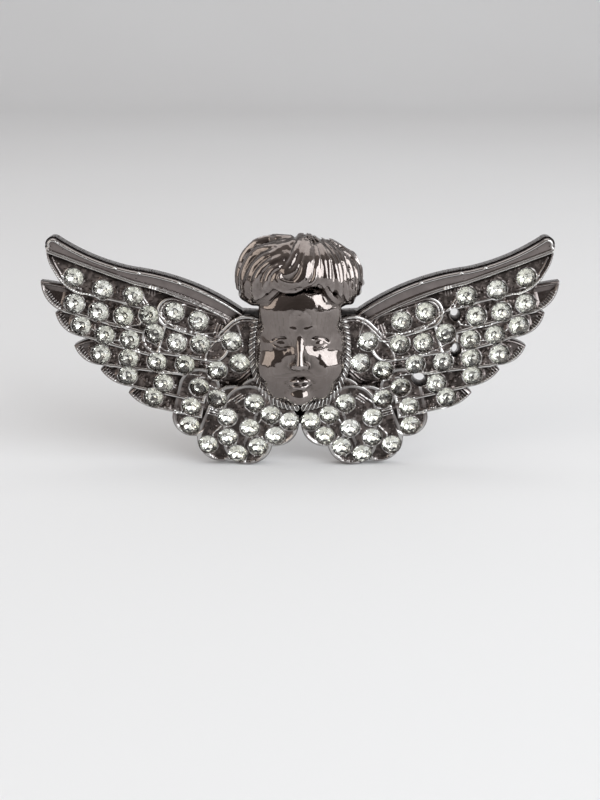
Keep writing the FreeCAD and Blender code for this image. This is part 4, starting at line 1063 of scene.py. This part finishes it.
# --------------------------------------------------------------------------------------------------------
# The pieces
# --------------------------------------------------------------------------------------------------------
plain_relief = wing_relief()
for side in SIDES:
    relief = Relief()
    relief.height, relief.reach = plain_relief.height.copy(), plain_relief.reach.copy()
    relief.polish = plain_relief.polish.copy()
    corners, faces, cavity, polish = wing_mesh(relief, side)
    wing = new_piece(f"relief_wing_{side}", corners, faces, wing_metal, f"wing_{side}")
    # The cavity attribute carries painted shade for the wing's recesses.
    paint(wing, "cavity", cavity)
    paint(wing, "polish", polish)

corners, faces, hollow = head_mesh()
head = new_piece("sculpted_head", corners, faces, head_metal, "cherub_head")
# The head's cavity carries painted shade for its grooves and the underside of the hair.
paint(head, "cavity", hollow)
paint(head, "polish", np.ones(len(corners)))

for side, sign in SIDES.items():
    for row in ROWS:
        corners, faces, foiled, reflection_tone = stones_of(f"stones_{side}_{row}")
        piece = new_piece(f"crystals_{side}_{row}", corners, faces, [crystal, foil], f"stones_{side}_{row}",
                          shade_smooth=False)
        piece.data.polygons.foreach_set("material_index", np.array(foiled, np.int32))
        # Painted reflection tone of each facet, read by the foil.
        paint(piece, "reflection_tone", reflection_tone, "FACE")
    low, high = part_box(f"candle_pin_{side}")
    corners, faces = spike_mesh((low.x + high.x) / 2 / MM)
    new_piece(f"push_pin_{side}", corners, faces, pin_metal, f"candle_pin_{side}")


# --------------------------------------------------------------------------------------------------------
# Floor, light and camera
# --------------------------------------------------------------------------------------------------------
floor_level = CAD_BOX[0].z - 0.0001
BACKDROP = [(-2.5, 0.0), (0.9, 0.0)]
BACKDROP += [(0.9 + 0.5 * math.sin(math.radians(a)), 0.5 - 0.5 * math.cos(math.radians(a))) for a in range(5, 91, 5)]
BACKDROP += [(1.4, 2.5)]
sweep = [(x, y, floor_level + z) for y, z in BACKDROP for x in (-4.0, 4.0)]
mesh = bpy.data.meshes.new("floor")
mesh.from_pydata(sweep, [], [(2 * k, 2 * k + 1, 2 * k + 3, 2 * k + 2) for k in range(len(BACKDROP) - 1)])
for polygon in mesh.polygons:
    polygon.use_smooth = True
floor = bpy.data.objects.new("floor", mesh)
bpy.context.scene.collection.objects.link(floor)
pale, pale_shader, pale_nodes = new_material("pale_floor")
pale_shader.inputs["Roughness"].default_value = 0.8
pale_nodes.join(pale_nodes.ramp(pale_nodes.noise(3.0, 2.0), ((0.3, (0.79, 0.78, 0.78)), (0.7, (0.81, 0.805, 0.805)))),
                pale_shader.inputs["Base Color"])
mesh.materials.append(pale)


def soft_lamp(name, place, aim, width, height, power, colour):
    light = bpy.data.lights.new(name, "AREA")
    light.shape = "RECTANGLE"
    light.size, light.size_y = width, height
    light.energy = power
    light.color = colour
    lamp = bpy.data.objects.new(name, light)
    lamp.location = place
    lamp.rotation_euler = (Vector(aim) - Vector(place)).to_track_quat("-Z", "Y").to_euler()
    bpy.context.scene.collection.objects.link(lamp)
    return lamp


soft_lamp("key_light", (0.672, -0.576, 0.384), (0, 0, 0.01), 1.056, 0.704, 11.0, (0.93, 0.97, 1.0))
soft_lamp("fill_light", (-0.736, -0.576, 0.384), (0, 0, 0.01), 0.64, 0.672, 2.2, (1.0, 0.93, 0.84))
soft_lamp("top_light", (0.0, 0.1, 1.1), (0, 0, 0), 1.1, 0.7, 2.7, (1.0, 0.99, 0.98))

world = bpy.data.worlds.new("studio")
bpy.context.scene.world = world
world.use_nodes = True
sky = Nodes(world.node_tree)
background = world.node_tree.nodes["Background"]
where = sky.add("ShaderNodeTexCoord")
split = sky.add("ShaderNodeSeparateXYZ")
sky.join(where.outputs["Generated"], split.inputs[0])
room = sky.ramp(sky.maths("ADD", sky.maths("MULTIPLY", split.outputs["Y"], 0.5), 0.5),
                ((0.0, (0.16, 0.14, 0.13)), (0.42, (0.42, 0.39, 0.37)), (0.62, (0.86, 0.86, 0.87))))
height_share = sky.ramp(sky.maths("ADD", sky.maths("MULTIPLY", split.outputs["Z"], 0.5), 0.5), ((0.2, 0.7), (0.75, 1.0)))
side_share = sky.ramp(sky.maths("ADD", sky.maths("MULTIPLY", split.outputs["X"], 0.5), 0.5),
                      ((0.3, (1.0, 1.0, 0.99)), (0.36, (0.5, 0.5, 0.49)), (0.42, (1.0, 1.0, 0.98)), (0.58, (1.0, 1.0, 0.99)),
                       (0.64, (0.45, 0.45, 0.44)), (0.72, (1.0, 1.0, 1.0))))
pale_room = sky.mix(1.0, height_share, side_share, "MULTIPLY")
path = sky.add("ShaderNodeLightPath")
seen = sky.maths("MAXIMUM", path.outputs["Is Camera Ray"], path.outputs["Is Glossy Ray"])
shown = sky.mix(seen, (0.41, 0.41, 0.415), room)
sky.join(sky.mix(path.outputs["Is Transmission Ray"], shown, pale_room), background.inputs["Color"])

camera = bpy.data.cameras.new("camera")
camera.sensor_fit = "VERTICAL"
camera.sensor_height = 24.0
camera.lens = 36.45
camera.clip_start = 0.005
eye = bpy.data.objects.new("camera", camera)
eye.location = (0.0, -0.2032, 0.0549)
eye.rotation_euler = (math.radians(72.8), 0, 0)
bpy.context.scene.collection.objects.link(eye)
bpy.context.scene.camera = eye
bpy.context.scene.view_settings.view_transform = "Standard"
